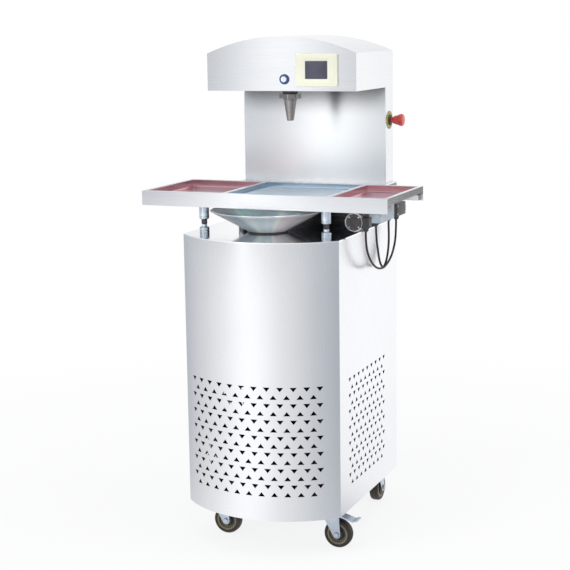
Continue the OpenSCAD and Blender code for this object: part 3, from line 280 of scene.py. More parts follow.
def pale_floor(add):
    """A matt floor that takes the shadow, and turns to plain white, or to paper in a mirror, away from it."""
    rays = add("LightPath").outputs
    direct = add("Math", [rays["Is Camera Ray"], rays["Is Glossy Ray"]], operation="MAXIMUM")
    place = add("TexCoord").outputs["Object"]
    away = add("VectorMath", [place], operation="LENGTH")
    paleness = add("MapRange", [away], interpolation_type="SMOOTHSTEP",
                   in_From_Min=0.5, in_From_Max=2.6, in_To_Min=0.85, in_To_Max=1.0)
    share = add("Math", [direct, paleness], operation="MULTIPLY")
    glow = add("Emission", in_Color=(1, 1, 1, 1))
    mirrored = add("MixShader", [rays["Is Glossy Ray"], glow, paper(add)])
    matt = add("BsdfDiffuse", in_Color=(0.93, 0.94, 0.95, 1))
    return add("MixShader", [share, matt, mirrored])


def backdrop(name, points, faces, surface):
    """A sheet of the studio, whose surface is the last node that a function adds."""
    mesh = bpy.data.meshes.new(name)
    mesh.from_pydata(np.array(points, float).tolist(), [], np.array(faces).tolist())
    finish, tree, bsdf, add = shader(name + "_surface")
    tree.links.new(surface(add).outputs[0], tree.nodes["Material Output"].inputs["Surface"])
    tree.nodes.remove(bsdf)
    mesh.materials.append(finish)
    sheet = bpy.data.objects.new(name, mesh)
    bpy.context.scene.collection.objects.link(sheet)
    return sheet


wall_r, wall_h, wall_sides = 1.6, 2.6, 128
index = np.arange(wall_sides)
beside = np.roll(index, -1)
around = index * 2 * np.pi / wall_sides
ring = np.column_stack([wall_r * np.sin(around), -wall_r * np.cos(around)])
paper_wall = backdrop("paper_wall", np.vstack([np.column_stack([ring, np.full(wall_sides, h)])
                                               for h in (0.001, wall_h)]),
                      np.stack([index, index + wall_sides, beside + wall_sides, beside], axis=1), paper)
card_y, card_corners = 0.32, [(0.37, 0.86), (0.66, 0.86), (0.66, 1.02), (0.37, 1.02)]
dark_card = backdrop("dark_card", [(x, card_y, z) for x, z in card_corners], [(0, 1, 2, 3)], card)
for sheet in (paper_wall, dark_card):
    sheet.visible_camera = sheet.visible_diffuse = False
    sheet.visible_shadow = sheet.visible_transmission = False
reach = 30.0
backdrop("floor", [(-reach, -reach, 0), (reach, -reach, 0), (reach, reach, 0), (-reach, reach, 0)],
         [(0, 1, 2, 3)], pale_floor)


def lamp(name, at, towards, wide, tall, watts, spread=180):
    """A soft rectangular lamp at one point, facing another, with its light kept within spread degrees. It
    doesn't show in the polished sheet."""
    back = np.array(at, float) - np.array(towards, float)
    back /= np.linalg.norm(back)
    across = np.cross([0, 0, 1], back)
    across /= np.linalg.norm(across)
    light = stand(name, bpy.data.lights.new(name, "AREA"), across, np.cross(back, across), back, at)
    light.data.shape = "RECTANGLE"
    light.data.size, light.data.size_y, light.data.energy = wide, tall, watts
    light.data.spread = np.radians(spread)
    light.visible_glossy = False


lamp("front_lamp", (-1.8, -3.2, 2.6), (0, 0, 0.8), 2.2, 2.2, 48)
lamp("right_lamp", (3.2, 0.6, 2.0), (0, 0, 0.8), 2.0, 2.4, 34)
lamp("top_lamp", (0.2, -0.6, 3.6), (0, 0, 0.9), 2.6, 2.6, 38)
lamp("low_lamp", (0.9, -1.9, 0.55), (-0.02, -0.2, 0.85), 0.7, 0.3, 0.7, 30)
lamp("level_lamp", (1.25, -3.2, 1.36), (-0.02, -0.05, 0.93), 0.5, 0.2, 1.0, 12)


# Sheet steel
# The casing is satin stainless sheet, brushed one way at the mill and wiped over by hand, so it keeps fine
# straight lines and faint cloudy patches. The inner faces of the cabinet's side and rear panels are painted
# near black as shade, and the column's front is painted darker just under the head as shade.
mid_side, mid_rear = 0.226, 0.268


def brushed(name, colour, rough, grain, streak=0.06, cloud=0.05, bump=0.02, spread=None, nook=None,
            metal=1.0):
    """Brushed metal: noise drawn out along the grain roughens and tints fine lines, and wide noise clouds the
    colour a little. grain gives the number of lines a metre along X, Y and Z, spread a direction across the
    lines in which they smear what is mirrored, and nook how far from an inner corner, and above which height,
    the colour is darkened as painted shade."""
    finish, tree, bsdf, add = shader(name)
    place = add("TexCoord").outputs["Object"]
    drawn = add("Mapping", [place], in_Scale=grain)
    lines = add("TexNoise", [drawn], in_Scale=1.0, in_Detail=5.0, in_Roughness=0.65)
    patches = add("TexNoise", [place], in_Scale=6.0, in_Detail=3.0)
    mixed = add("Math", [lines, patches], operation="ADD")
    tone = add("MapRange", [mixed], in_From_Min=0.6, in_From_Max=1.4)
    tint = add("Mix", [tone], data_type="RGBA",
               in_A=(*(c * (1 - cloud) for c in colour), 1),
               in_B=(*(min(c * (1 + cloud), 1) for c in colour), 1))
    gloss = add("MapRange", [lines], in_From_Min=0.3, in_From_Max=0.7,
                in_To_Min=max(rough - streak, 0.02), in_To_Max=rough + streak)
    dents = add("Bump", {"Height": lines}, in_Strength=bump, in_Distance=0.0002)
    # Painted shade: above the given height, the colour darkens towards a tenth of itself where ambient
    # occlusion finds the sheet closed in.
    if nook:
        open_sky = add("AmbientOcclusion", in_Distance=nook[0], samples=8)
        apart = add("SeparateXYZ", [place])
        depth = add("MapRange", [apart.outputs["Z"]], in_From_Min=nook[1],
                    in_From_Max=nook[1] + nook[0], in_To_Max=3.0)
        light = add("Math", [open_sky.outputs["AO"], depth], operation="POWER")
        tint = add("Mix", {"Factor": light, "B": tint}, data_type="RGBA",
                   in_A=(*(0.1 * c for c in colour), 1))
    if spread:
        across = add("CombineXYZ", in_X=spread[0], in_Y=spread[1], in_Z=spread[2])
        tree.links.new(across.outputs[0], bsdf.inputs["Tangent"])
        bsdf.inputs["Anisotropic"].default_value = 0.8
    feed(tree, bsdf, tint, gloss, dents, metal)
    return finish


def paint_shade(finish, dark, bright_share):
    """Paints shade into a finish: darkens it where bright_share, worked out by added nodes from the place, is
    nought.
    """
    tree = finish.node_tree
    add = wiring(tree)
    colour = tree.nodes["Principled BSDF"].inputs["Base Color"]
    bright = colour.links[0].from_socket
    place = tree.nodes["Texture Coordinate"].outputs["Object"]
    apart = add("SeparateXYZ", [place])
    either = add("Mix", {"Factor": bright_share(add, apart.outputs), "B": bright},
                 data_type="RGBA", in_A=(dark, dark, dark, 1))
    tree.links.new(either.outputs["Result"], colour)


def outer_face(add, at):
    """One outside the middle of the side and rear sheets, and nought within it."""
    across = add("Math", [at["X"]], operation="ABSOLUTE")
    beside = add("Math", [across], operation="GREATER_THAN", in_1=mid_side)
    behind = add("Math", [at["Y"]], operation="GREATER_THAN", in_1=mid_rear)
    return add("Math", [beside, behind], operation="MAXIMUM")


def dress(finish, *names):
    """Gives CAD nodes a finish in place of the one they came with."""
    for name in names:
        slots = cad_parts[name].data.materials
        slots.clear()
        slots.append(finish)


grain_up, grain_level = (700, 700, 6), (6, 6, 700)
mill = {"streak": 0.03, "cloud": 0.03, "bump": 0.004}
satin_upright = brushed("satin_upright", (0.72, 0.73, 0.75), 0.28, grain_up, **mill)
dress(satin_upright, "column_back")
# Painted shade: the inner faces of the side and rear panels are near black, as the shade inside the cabinet
# seen through the vents.
inside_shaded_upright = brushed("inside_shaded_upright", (0.72, 0.73, 0.75), 0.28, grain_up, **mill)
paint_shade(inside_shaded_upright, 0.02, outer_face)
dress(inside_shaded_upright, "side_panel_right", "side_panel_left", "rear_panel")
# The column's front is painted darker just under the head, as shade.
satin_column = brushed("satin_column", (0.80, 0.82, 0.84), 0.26, grain_up, streak=0.004, cloud=0.01, bump=0.0,
                       spread=(0, 0, 1), nook=(0.09, 1.14), metal=0.86)
dress(satin_column, "column_front")
satin_level = brushed("satin_level", (0.74, 0.75, 0.77), 0.26, grain_level, **mill)
dress(satin_level, "cheek_right", "cheek_left", "head_front", "head_top", "head_floor", "table_frame")
zinc = brushed("zinc", (0.43, 0.48, 0.55), 0.34, (120, 120, 120), streak=0.1, cloud=0.14)
dress(zinc, "base_plate", "corner_posts", "brake_pedal_right", "brake_pedal_left", "vibrator_rotor")


# Plinth
# A box of sheet behind the table carries a satin shelf, on which the column stands. Below the shelf the box
# is painted dark as shade under the table. The riser goes up through both into the column.
shelf_low, shelf_t = 0.970, 0.002


def shelf(add, at):
    """One on the shelf's top, and nought below the shelf."""
    return add("MapRange", [at["Z"]], in_From_Min=shelf_low, in_From_Max=shelf_low + shelf_t)


# Painted shade: below the shelf the sheet is dark, as the shade under the table.
plinth_shaded_sheet = brushed("plinth_shaded_sheet", (0.74, 0.75, 0.77), 0.26, grain_level, **mill)
paint_shade(plinth_shaded_sheet, 0.17, shelf)
dress(plinth_shaded_sheet, "plinth")

# Front panel
# One stainless sheet rolled to a shallow bow, with rows of punched triangular vents in its lower half, point
# down and point up by turns, that let the cooling set breathe.
bow_r, half_w, apex_y, sheet_t = 0.307645, 0.227, -0.310, 0.002
panel_low, panel_high = 0.108, 0.865
vent_rows, vent_columns, vent_pitch, row_pitch = 7, 12, 0.036, 0.045
top_row, row_drop = 0.366, 0.021
vent_half_w, vent_half_h = 0.0095, 0.006
half_arc = bow_r * np.arcsin(half_w / bow_r)
vents = []
for up in (0, 1):
    across = (np.arange(vent_columns - up) - (vent_columns - 1 - up) / 2) * vent_pitch
    middle = panel_low + top_row - np.arange(vent_rows) * row_pitch - up * row_drop
    s, z = (v.ravel() for v in np.meshgrid(across, middle))
    tip = vent_half_h if up else -vent_half_h
    vents.append(np.stack([np.column_stack([s - vent_half_w, z - tip]),
                           np.column_stack([s + vent_half_w, z - tip]),
                           np.column_stack([s, z + tip])], axis=1))
vents = np.concatenate(vents)


def in_vents(points, grow):
    """Whether each point lies in a vent grown about its middle: on the same side of all three edges."""
    a = vents.mean(1, keepdims=True) + grow * (vents - vents.mean(1, keepdims=True))
    edge = np.roll(a, -1, axis=1) - a
    to = points[:, None, None] - a
    side = edge[..., 0] * to[..., 1] - edge[..., 1] * to[..., 0]
    return ((side > 0).all(2) | (side < 0).all(2)).any(1)


def rolled(points, depth):
    """A flat point (s, z) on the roller: angle s over the bow's radius, at that radius less the depth."""
    a = points[..., 0] / bow_r
    r = bow_r - depth
    return np.stack([r * np.sin(a), apex_y + bow_r - r * np.cos(a), points[..., 1]], axis=-1)


def wall(loop):
    """A strip from the outer face to the inner one along a line of points."""
    n = len(loop)
    index = np.arange(n - 1)
    return (np.concatenate([rolled(loop, 0), rolled(loop, sheet_t)]),
            np.stack([index, index + 1, index + 1 + n, index + n], axis=1))


rim_s, rim_z = np.linspace(-half_arc, half_arc, 73), np.linspace(panel_low, panel_high, 40)
s, z = np.meshgrid(rim_s, rim_z)
lattice = np.column_stack([s.ravel(), z.ravel()])
lattice = lattice[~in_vents(lattice, 1.5)]
number = np.arange(len(vents) * 3).reshape(-1, 3)
edges = np.stack([number, np.roll(number, -1, axis=1)], axis=2).reshape(-1, 2)
cut = delaunay_2d_cdt([Vector(p) for p in np.vstack([vents.reshape(-1, 2), lattice])], edges.tolist(), [], 0,
                      1e-7)
flat, tris = np.array(cut[0]), np.array(cut[2])
tris = tris[~in_vents(flat[tris].mean(1), 1.0)]
loops = [np.vstack([v, v[:1]]) for v in vents]
loops += [np.column_stack([rim_s, np.full(len(rim_s), h)]) for h in (panel_low, panel_high)]
loops += [np.column_stack([np.full(len(rim_z), x), rim_z]) for x in (-half_arc, half_arc)]
parts = [(rolled(flat, 0), tris), (rolled(flat, sheet_t), tris[:, ::-1])] + [wall(loop) for loop in loops]
starts = np.cumsum([0] + [len(v) for v, f in parts[:-1]])
faces = [face for (v, f), start in zip(parts, starts) for face in (f + start).tolist()]
bowed = add_mesh("bowed_front", np.concatenate([v for v, f in parts]), faces, np.zeros(len(faces)),
                 [satin_upright], "cabinet", 40.0)
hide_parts("front_panel")

# Castors
# Bought zinc-plated swivel castors: a square plate on four bolts, a ball race, a pressed fork, and a wheel
# with a dark rubber tread bonded to a tan core. The two at the front have a foot brake.
rightward, rearward, upward = np.eye(3)
forward, downward = -rearward, -upward


def revolve(profile, centre, axis, count=48):
    """A profile of (radius, height) pairs carried once round an axis: the centre, plus the radius times
    (cos a, sin a) across the axis, plus the height along it. A radius of nought closes to a pole."""
    first = rightward if abs(axis[2]) > 0.5 else upward
    second = np.cross(axis, first)
    a = np.arange(count) * 2 * np.pi / count
    ring = np.cos(a)[:, None] * first + np.sin(a)[:, None] * second
    p = np.array(profile, float)
    return np.array(centre, float) + p[:, None, :1] * ring + p[:, None, 1:] * axis


def eased(profile, cut, steps=4):
    """A profile with its inner corners rounded: corner P gives way to (1-t)^2 A + 2t(1-t) P + t^2 B, where A
    and B lie the cut away along its two sides, or a little under half of a shorter side."""
    p = np.array(profile, float)
    before, after = p[:-2] - p[1:-1], p[2:] - p[1:-1]
    n0 = np.linalg.norm(before, axis=1)[:, None]
    n1 = np.linalg.norm(after, axis=1)[:, None]
    a = (p[1:-1] + before / n0 * np.minimum(cut, 0.45 * n0))[:, None]
    b = (p[1:-1] + after / n1 * np.minimum(cut, 0.45 * n1))[:, None]
    t = np.linspace(0, 1, steps)[None, :, None]
    curve = (1 - t) ** 2 * a + 2 * t * (1 - t) * p[1:-1, None] + t ** 2 * b
    return np.vstack([p[:1], curve.reshape(-1, 2), p[-1:]])


def belt(circles, count):
    """The outline of a belt pulled round circles: in each direction, the point of the circle that reaches
    furthest that way."""
    c = np.array(circles, float)
    a = (np.arange(count) + 0.5) * 2 * np.pi / count
    way = np.stack([np.cos(a), np.sin(a)], axis=1)
    furthest = np.argmax(way @ c[:, :2].T + c[:, 2], axis=1)
    return c[furthest, :2] + c[furthest, 2:] * way


def plate(circles, low, high, ease, origin, across, along, out, count=48):
    """A plate with a belt's outline, from low to high along out, whose edges are rounded by drawing the
    circles in by ease (1 - sin a) while the height moves by ease (1 - cos a)."""
    a = np.linspace(0, np.pi / 2, 4)
    inset = ease * (1 - np.sin(a))
    height = np.concatenate([low + ease * (1 - np.cos(a)), high - ease * (1 - np.cos(a[::-1]))])
    inset = np.concatenate([inset, inset[::-1]])
    c = np.array(circles, float)
    loops = np.stack([belt(np.column_stack([c[:, :2], np.maximum(c[:, 2] - i, 1e-5)]), count) for i in inset])
    middle = np.repeat(loops[0].mean(0)[None, None], count, axis=1)
    loops = np.concatenate([middle, loops, middle])
    height = np.concatenate([[low], height, [high]])
    return (np.array(origin, float) + loops[..., :1] * across + loops[..., 1:] * along
            + height[:, None, None] * out)


def soft_box(low, high, ease, count=32):
    """A box with rounded edges: a plate whose belt runs round a circle in each corner."""
    corners = [(x, y, ease) for x in (low[0] + ease, high[0] - ease) for y in (low[1] + ease, high[1] - ease)]
    return plate(corners, low[2], high[2], ease, (0, 0, 0), rightward, rearward, upward, count)


def hexagon(centre, axis, radius, low, high):
    """A six-sided nut or bolt head with a turned chamfer at its outer end."""
    chamfer = 0.15 * radius
    return revolve([(0, low), (radius, low), (radius, high - chamfer), (radius - chamfer, high), (0, high)],
                   centre, axis, 6)


def mirrored(half):
    """A profile from half of it: the other half is the same at the opposite height, in reverse order."""
    return half + [(r, -h) for r, h in half[::-1]]


tread_rubber = speckled("tread_rubber", (0.016, 0.012, 0.010), (0.045, 0.034, 0.026), 0.6, 0.004, 0.35)
tan_core = speckled("tan_core", (0.19, 0.16, 0.095), (0.27, 0.23, 0.15), 0.55, 0.005, 0.2)
dark_hub = speckled("dark_hub", (0.03, 0.03, 0.035), (0.06, 0.06, 0.065), 0.5, 0.004, 0.2)
wheel_r, trail = 0.040, 0.030
plate_half, plate_low, plate_high, bolt_at = 0.031, 0.105, 0.108, 0.025
leg_in, leg_out = 0.0165, 0.0195
tread = eased(mirrored([(0.0302, 0), (0.0302, -0.0128), (0.0345, -0.0138), (0.0385, -0.0115),
                        (wheel_r, -0.006)]), 0.002)
core = eased(mirrored([(0.0195, 0), (0.0195, -0.0045), (0.0235, -0.0052), (0.0245, -0.0124),
                       (0.030, -0.0128)]), 0.0008)
hub = eased(mirrored([(0.0051, 0), (0.0051, -0.0158), (0.0135, -0.0158), (0.0150, -0.0140), (0.0155, -0.0056),
                      (0.0196, -0.0048)]), 0.0008)
leg = [(trail, wheel_r, 0.011), (0.033, 0.093, 0.004), (-0.0075, 0.093, 0.004), (-0.0085, 0.0925, 0.0025)]
axle_pin = [(0, 0), (0.005, 0), (0.005, 0.0205), (0, 0.0205)]
crown = eased([(0.0063, 0.0935), (0.0063, 0.0902), (0.021, 0.0900), (0.023, 0.0915), (0.023, 0.0968),
               (0.0063, 0.0970), (0.0063, 0.0935)], 0.0008)
race = eased([(0, 0.0975), (0.019, 0.0975), (0.0218, 0.0990), (0.0218, 0.1020), (0.0195, 0.1049),
              (0.012, plate_low), (0, plate_low)], 0.001)
king = [(0, 0.0975), (0.006, 0.0975), (0.006, 0.0840), (0.0052, 0.0838), (0, 0.0838)]
plates = []
for corner, x, y, run, side in (("front_right", 0.168, -0.148, rightward, rearward),
                                ("front_left", -0.168, -0.148, rightward, rearward),
                                ("rear_right", 0.168, 0.240, rearward, -rightward),
                                ("rear_left", -0.168, 0.240, rearward, -rightward)):
    swivel = np.array([x, y, 0.0])
    axle = swivel + trail * run + wheel_r * upward
    wheel = [(revolve(tread, axle, side, 64), 0), (revolve(core, axle, side, 64), 1),
             (revolve(hub, axle, side, 40), 2)]
    wheel = add_piece("wheel_of_" + corner, wheel, [tread_rubber, tan_core, dark_hub], "wheel_" + corner)
    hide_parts("wheel_" + corner)
    fork = [(plate(leg, low, high, 0.0008, swivel, run, upward, side), 0)
            for low, high in ((-leg_out, -leg_in), (leg_in, leg_out))]
    fork += [(hexagon(axle, s * side, 0.0078, 0.0198, 0.0246), 0) for s in (-1, 1)]
    fork += [(revolve(axle_pin, axle, s * side, 24), 0) for s in (-1, 1)]
    fork = add_piece("fork_of_" + corner, fork + [(revolve(crown, swivel, upward), 0)], [zinc],
                     "fork_" + corner)
    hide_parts("fork_" + corner)
    plates += [(soft_box((x - plate_half, y - plate_half, plate_low),
                         (x + plate_half, y + plate_half, plate_high), 0.0012), 0),
               (revolve(race, swivel, upward), 0), (revolve(king, swivel, upward, 24), 0),
               (hexagon(swivel, downward, 0.0088, -0.0896, -0.0838), 0)]
    plates += [(hexagon(swivel + [i, j, 0], downward, 0.0044, -plate_low, -0.1015), 0)
               for i in (-bolt_at, bolt_at) for j in (-bolt_at, bolt_at)]
plates = add_piece("castor_tops", plates, [zinc], "cabinet")
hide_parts("caster_plates")

# Deck
# The top of the cabinet is a polished sheet, on which the table's posts stand. It mirrors them and the
# underside of the bowl.
mirror_steel = brushed("mirror_steel", (0.86, 0.87, 0.88), 0.10, (60, 60, 60), streak=0.03, cloud=0.02,
                       bump=0.004)
dress(mirror_steel, "deck")

# Inside the cabinet
# A worm pump with its gear motor under the bowl, the riser to the head, and the cooling set with its fan and
# control box. They show only through the slots and vents.
dress(mirror_steel, "riser_pipe", "pump_screw")
housing_cast = speckled("housing_cast", (0.26, 0.26, 0.27), (0.38, 0.38, 0.39), 0.45, 0.004, 0.3, metal=0.8)
dress(housing_cast, "pump_housing")
motor_paint = speckled("motor_paint", (0.05, 0.05, 0.055), (0.09, 0.09, 0.10), 0.4, 0.01, 0.1)
dress(motor_paint, "pump_motor", "compressor")
black_plastic = speckled("black_plastic", (0.012, 0.012, 0.012), (0.03, 0.03, 0.03), 0.5, 0.003, 0.2)
dress(black_plastic, "fan", "condenser", "power_inlet", "tank_heater")

# Tank bowl
# A spun stainless bowl stands on its heater mat over the pump: a shallow cone, a pressed crease, a short
# flared band and a turned-over rim. Spinning leaves fine rings round its axis. Its colour holds painted
# reflections, bluer and darker on its left and warmer on its right with streaks round it, and its outside is
# painted darker towards the rim as shade.
bowl_axis = np.array([-0.020, -0.105, 0])
spun_steel, tree, bsdf, add = shader("spun_steel")
place = add("TexCoord").outputs["Object"]
centred = add("Mapping", [place], in_Location=tuple(-bowl_axis))
apart = add("SeparateXYZ", [centred]).outputs
plan = add("CombineXYZ", [apart["X"], apart["Y"]])
radius = add("VectorMath", [plan], operation="LENGTH")
around = add("Math", [apart["Y"], apart["X"]], operation="ARCTAN2")
ringed = add("CombineXYZ", [radius, around, apart["Z"]])
drawn = add("Mapping", [ringed], in_Scale=(900, 1.5, 900))
rings = add("TexNoise", [drawn], in_Scale=1.0, in_Detail=3.0)
way = add("VectorMath", [plan], operation="NORMALIZE")
# Painted reflections: the colour is bluer and darker on the bowl's left and warmer on its right, with streaks
# round the axis.
streaks = add("TexNoise", [way], in_Scale=1.7, in_Detail=2.0)
sideways = add("SeparateXYZ", [way])
reflected_tone = add("Math", {0: sideways.outputs["X"], 2: streaks}, operation="MULTIPLY_ADD", in_1=0.14)
tint = ramped(add, reflected_tone, [(0.32, (0.46, 0.55, 0.60)), (0.46, (0.62, 0.71, 0.75)),
                            (0.56, (0.84, 0.86, 0.82)), (0.70, (0.74, 0.70, 0.74))])
# Painted shade: the outside grows darker towards the rim, and the inside is left as it is.
rim_shade = add("MapRange", [apart["Z"]], in_From_Min=0.885, in_From_Max=0.920, in_To_Min=1.0, in_To_Max=0.55)
lean = add("SeparateXYZ", [add("NewGeometry").outputs["Normal"]])
inside = add("Math", [lean.outputs["Z"]], operation="GREATER_THAN", in_1=0.0)
share = add("Math", [rim_shade, inside], operation="MAXIMUM")
shaded = add("VectorMath", {"Vector": tint, "Scale": share}, operation="SCALE")
gloss = add("MapRange", [rings], in_To_Min=0.24, in_To_Max=0.40)
dents = add("Bump", {"Height": rings}, in_Strength=0.05, in_Distance=0.0003)
feed(tree, bsdf, shaded, gloss, dents, 0.35)
bowl = eased([(0.020, 0.8395), (0.022, 0.8395), (0.022, 0.872), (0.056, 0.872), (0.150, 0.924),
              (0.154, 0.928), (0.1575, 0.9280), (0.1580, 0.9290), (0.1570, 0.9300), (0.1520, 0.9300),
              (0.1480, 0.9260), (0.054, 0.874), (0.020, 0.874), (0.020, 0.8395)], 0.0012, 3)
bowl = add_piece("spun_bowl", [(revolve(np.vstack([bowl, bowl[:1]]), bowl_axis, upward, 128), 0)],
                 [spun_steel], "cabinet", crease=20.0)
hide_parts("tank_bowl")

# Vibration mounts
# Four posts carry the table: a turned aluminium foot with a nut at its neck, a rubber buffer bonded on it,
# and a turned sleeve above. The real buffer gives while the table shakes; here the buffers are one fixed
# piece, on neither the table nor the cabinet.
turned = brushed("turned_aluminium", (0.66, 0.73, 0.80), 0.24, (30, 30, 900))
buffer_rubber = speckled("buffer_rubber", (0.012, 0.012, 0.014), (0.03, 0.03, 0.035), 0.55, 0.003, 0.2)
posts = np.array([(x, y, 0) for x in (-0.179, 0.179) for y in (-0.176, 0.090)])
post_r, buffer_low, buffer_high = 0.0135, 0.893, 0.906
foot = eased([(0, 0.8680), (0.0132, 0.8680), (post_r, 0.8685), (post_r, 0.8745), (0.0128, 0.8752),
              (post_r, 0.8759), (post_r, 0.8828), (0.0110, 0.8850), (0.0068, 0.8850), (0.0068, 0.8880),
              (0, 0.8880)], 0.0005, 3)
sleeve = eased([(0, buffer_high), (0.0108, buffer_high), (post_r, 0.9085), (post_r, 0.9130), (0.0129, 0.9136),
                (post_r, 0.9142), (post_r, 0.9450), (0, 0.9450)], 0.0005, 3)
buffer = eased([(0, buffer_low), (0.0074, buffer_low), (0.0080, 0.8945), (0.0078, 0.8995), (0.0080, 0.9045),
                (0.0074, buffer_high), (0, buffer_high)], 0.0008, 3)
feet = [(revolve(foot, p, upward), 0) for p in posts]
feet += [(hexagon(p, upward, 0.0085, 0.8872, buffer_low), 0) for p in posts]
feet = add_piece("post_feet", feet, [turned], "cabinet")
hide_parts("mount_feet")
sleeves = add_piece("post_sleeves", [(revolve(sleeve, p, upward), 0) for p in posts], [turned], "table")
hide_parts("mount_sleeves")
buffers = add_piece("post_buffers", [(revolve(buffer, p, upward, 32), 0) for p in posts], [buffer_rubber],
                    None)
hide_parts("isolators")
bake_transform(buffers)

# Pans
# Three pans are pressed from thin polished sheet and hang from the table's rim. The middle one has a round
# drain with a short spout over the bowl, under the lift-out grid.
rose_steel = brushed("rose_steel", (0.70, 0.47, 0.50), 0.15, (8, 300, 300), streak=0.05, cloud=0.16)
pale_steel = brushed("pale_steel", (0.55, 0.66, 0.75), 0.15, (8, 300, 300), streak=0.05, cloud=0.08)
pan_y, pan_floor, pan_rim, pan_t, pan_corner = (-0.1875, 0.1015), 0.961, 0.979, 0.002, 0.0022
drain_r, spout_h = 0.050, 0.022


def rounded_loop(x0, x1, y0, y1, r, count):
    """A rectangle with rounded corners as a belt round four circles."""
    return belt([(x, y, r) for x in (x0 + r, x1 - r) for y in (y0 + r, y1 - r)], count)


def pan(x0, x1, drained, count=64):
    """Loops stacked from the middle of the floor out to the rim and back underneath: each is the rim's
    rounded rectangle drawn in by a distance, at a height. A drained pan starts from its spout instead."""
    a = np.linspace(0, np.pi / 2, 5)
    fillet, under = 1.2 * pan_corner, pan_floor - pan_t
    inset = [0.03, *(fillet * (1 - np.sin(a))), 0.0, -pan_t, -pan_t, 0.0, 0.03]
    height = [pan_floor, *(pan_floor + fillet * (1 - np.cos(a))), pan_rim, pan_rim, under + pan_corner, under,
              under]
    loops = []
    for i, h in zip(inset, height):
        corner = max(pan_corner - i, 0.5 * pan_corner)
        loop = rounded_loop(x0 + i, x1 - i, pan_y[0] + i, pan_y[1] - i, corner, count)
        loops.append(np.column_stack([loop, np.full(count, h)]))
    if not drained:
        ends = [np.tile([(x0 + x1) / 2, sum(pan_y) / 2, h], (count, 1)) for h in (pan_floor, under)]
        return np.stack([ends[0], *loops, ends[1]])
    angle = (np.arange(count) + 0.5) * 2 * np.pi / count
    way = np.stack([np.cos(angle), np.sin(angle)], axis=1)
    wide, lip = drain_r + pan_t, under - spout_h
    hole = [np.column_stack([bowl_axis[:2] + r * way, np.full(count, h)])
            for r, h in ((wide, under), (wide, lip), (drain_r, lip), (drain_r, under), (wide, pan_floor))]
    return np.stack([*hole, *loops, hole[0]])


dress(pale_steel, "grid")
for name, x0, x1, finish in (("left_pan", -0.3455, -0.118, rose_steel),
                             ("right_pan", 0.198, 0.3455, rose_steel),
                             ("drip_pan", -0.106, 0.186, pale_steel)):
    pressed = add_piece("pressed_" + name, [(pan(x0, x1, name == "drip_pan"), 0)], [finish], "table",
                        crease=50.0)
    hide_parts(name)

# Vibrator
# A small unbalance motor bolted under the table's right end: a ribbed cast body with dark end covers in
# bright turned rings, a foot, and a black terminal box with a cable gland.
cast_metal = speckled("cast_metal", (0.035, 0.030, 0.030), (0.090, 0.080, 0.078), 0.40, 0.004, 0.3, metal=0.5)
bright_cover = brushed("bright_cover", (0.62, 0.62, 0.64), 0.25, (200, 200, 200), cloud=0.08)
gland_nylon = speckled("gland_nylon", (0.014, 0.014, 0.016), (0.032, 0.032, 0.036), 0.45, 0.002, 0.15)
gland_h = 0.008


def gland(cable_end):
    """A cable gland that points down over a cable's end: a six-sided nut above, a domed cap below, and a
    mouth for the cable."""
    at, top = (cable_end[0], cable_end[1], 0), cable_end[2] + gland_h
    mouth_r = flex_d / 2 + 0.0003
    cap = eased([(mouth_r, top - 0.0115), (mouth_r + 0.0015, top - 0.012), (0.0072, top - 0.0090),
                 (0.0078, top - 0.0060), (0, top - 0.0058)], 0.0008, 3)
    mouth = [(0, top - 0.004), (mouth_r, top - 0.004), (mouth_r, top - 0.0115)]
    return [(revolve(np.vstack([mouth, cap]), at, upward, 32), 1),
            (hexagon(at, downward, 0.0088, -top, -top + 0.006), 1)]


shaft = np.array([0.228, 0.0, 0.902])
body_front, body_rear, rib_steps = -0.0905, -0.0315, 36
bolt_ring_r, bolt_angles = 0.0190, np.radians([45, 135, 225, 315])
motor_foot = (0.210, -0.0832, 0.905), (0.246, -0.0388, 0.941)
terminal_box = (0.2455, -0.0978, 0.8885), (0.2708, -0.0722, 0.9155)
terminal_lid = (0.2450, -0.0982, 0.8880), (0.2712, -0.0718, 0.8915)
ribbed = np.column_stack([0.0222 + 0.0016 * (np.arange(rib_steps) // 2 % 2),
                          np.linspace(body_front, body_rear, rib_steps)])
cover = [(0, 0.0008), (0.009, 0.0008), (0.0105, 0.0022), (0.019, 0.0026), (0.0226, 0.0014), (0.0226, 0.0080),
         (0, 0.0080)]
rim = [(0.0224, 0.0040), (0.0224, 0.0004), (0.0245, 0.0), (0.0268, 0.0022), (0.0268, 0.0070),
       (0.0250, 0.0085), (0.0224, 0.0085), (0.0224, 0.0040)]
motor = [(revolve(np.vstack([[(0, body_front)], ribbed, [(0, body_rear)]]), shaft, rearward, 56), 0),
         (soft_box(*motor_foot, 0.0025), 0)]
motor += [(revolve(eased([(r, start + way * h) for r, h in shape], 0.0006, 3), shaft, rearward, 56), mark)
          for start, way in ((-0.098, 1), (-0.024, -1)) for shape, mark in ((cover, 0), (rim, 2))]
bolt_ring = bolt_ring_r * np.stack([np.cos(bolt_angles), 0 * bolt_angles, np.sin(bolt_angles)], axis=1)
motor += [(hexagon(shaft + place, forward, 0.0026, 0.0945, 0.0975), 2) for place in bolt_ring]
motor += [(soft_box(*terminal_box, 0.002), 1), (soft_box(*terminal_lid, 0.001), 1)]
motor = add_piece("vibrator_motor", motor + gland(outer_ends[0]), [cast_metal, gland_nylon, bright_cover],
                  "table")
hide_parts("vibrator_housing")

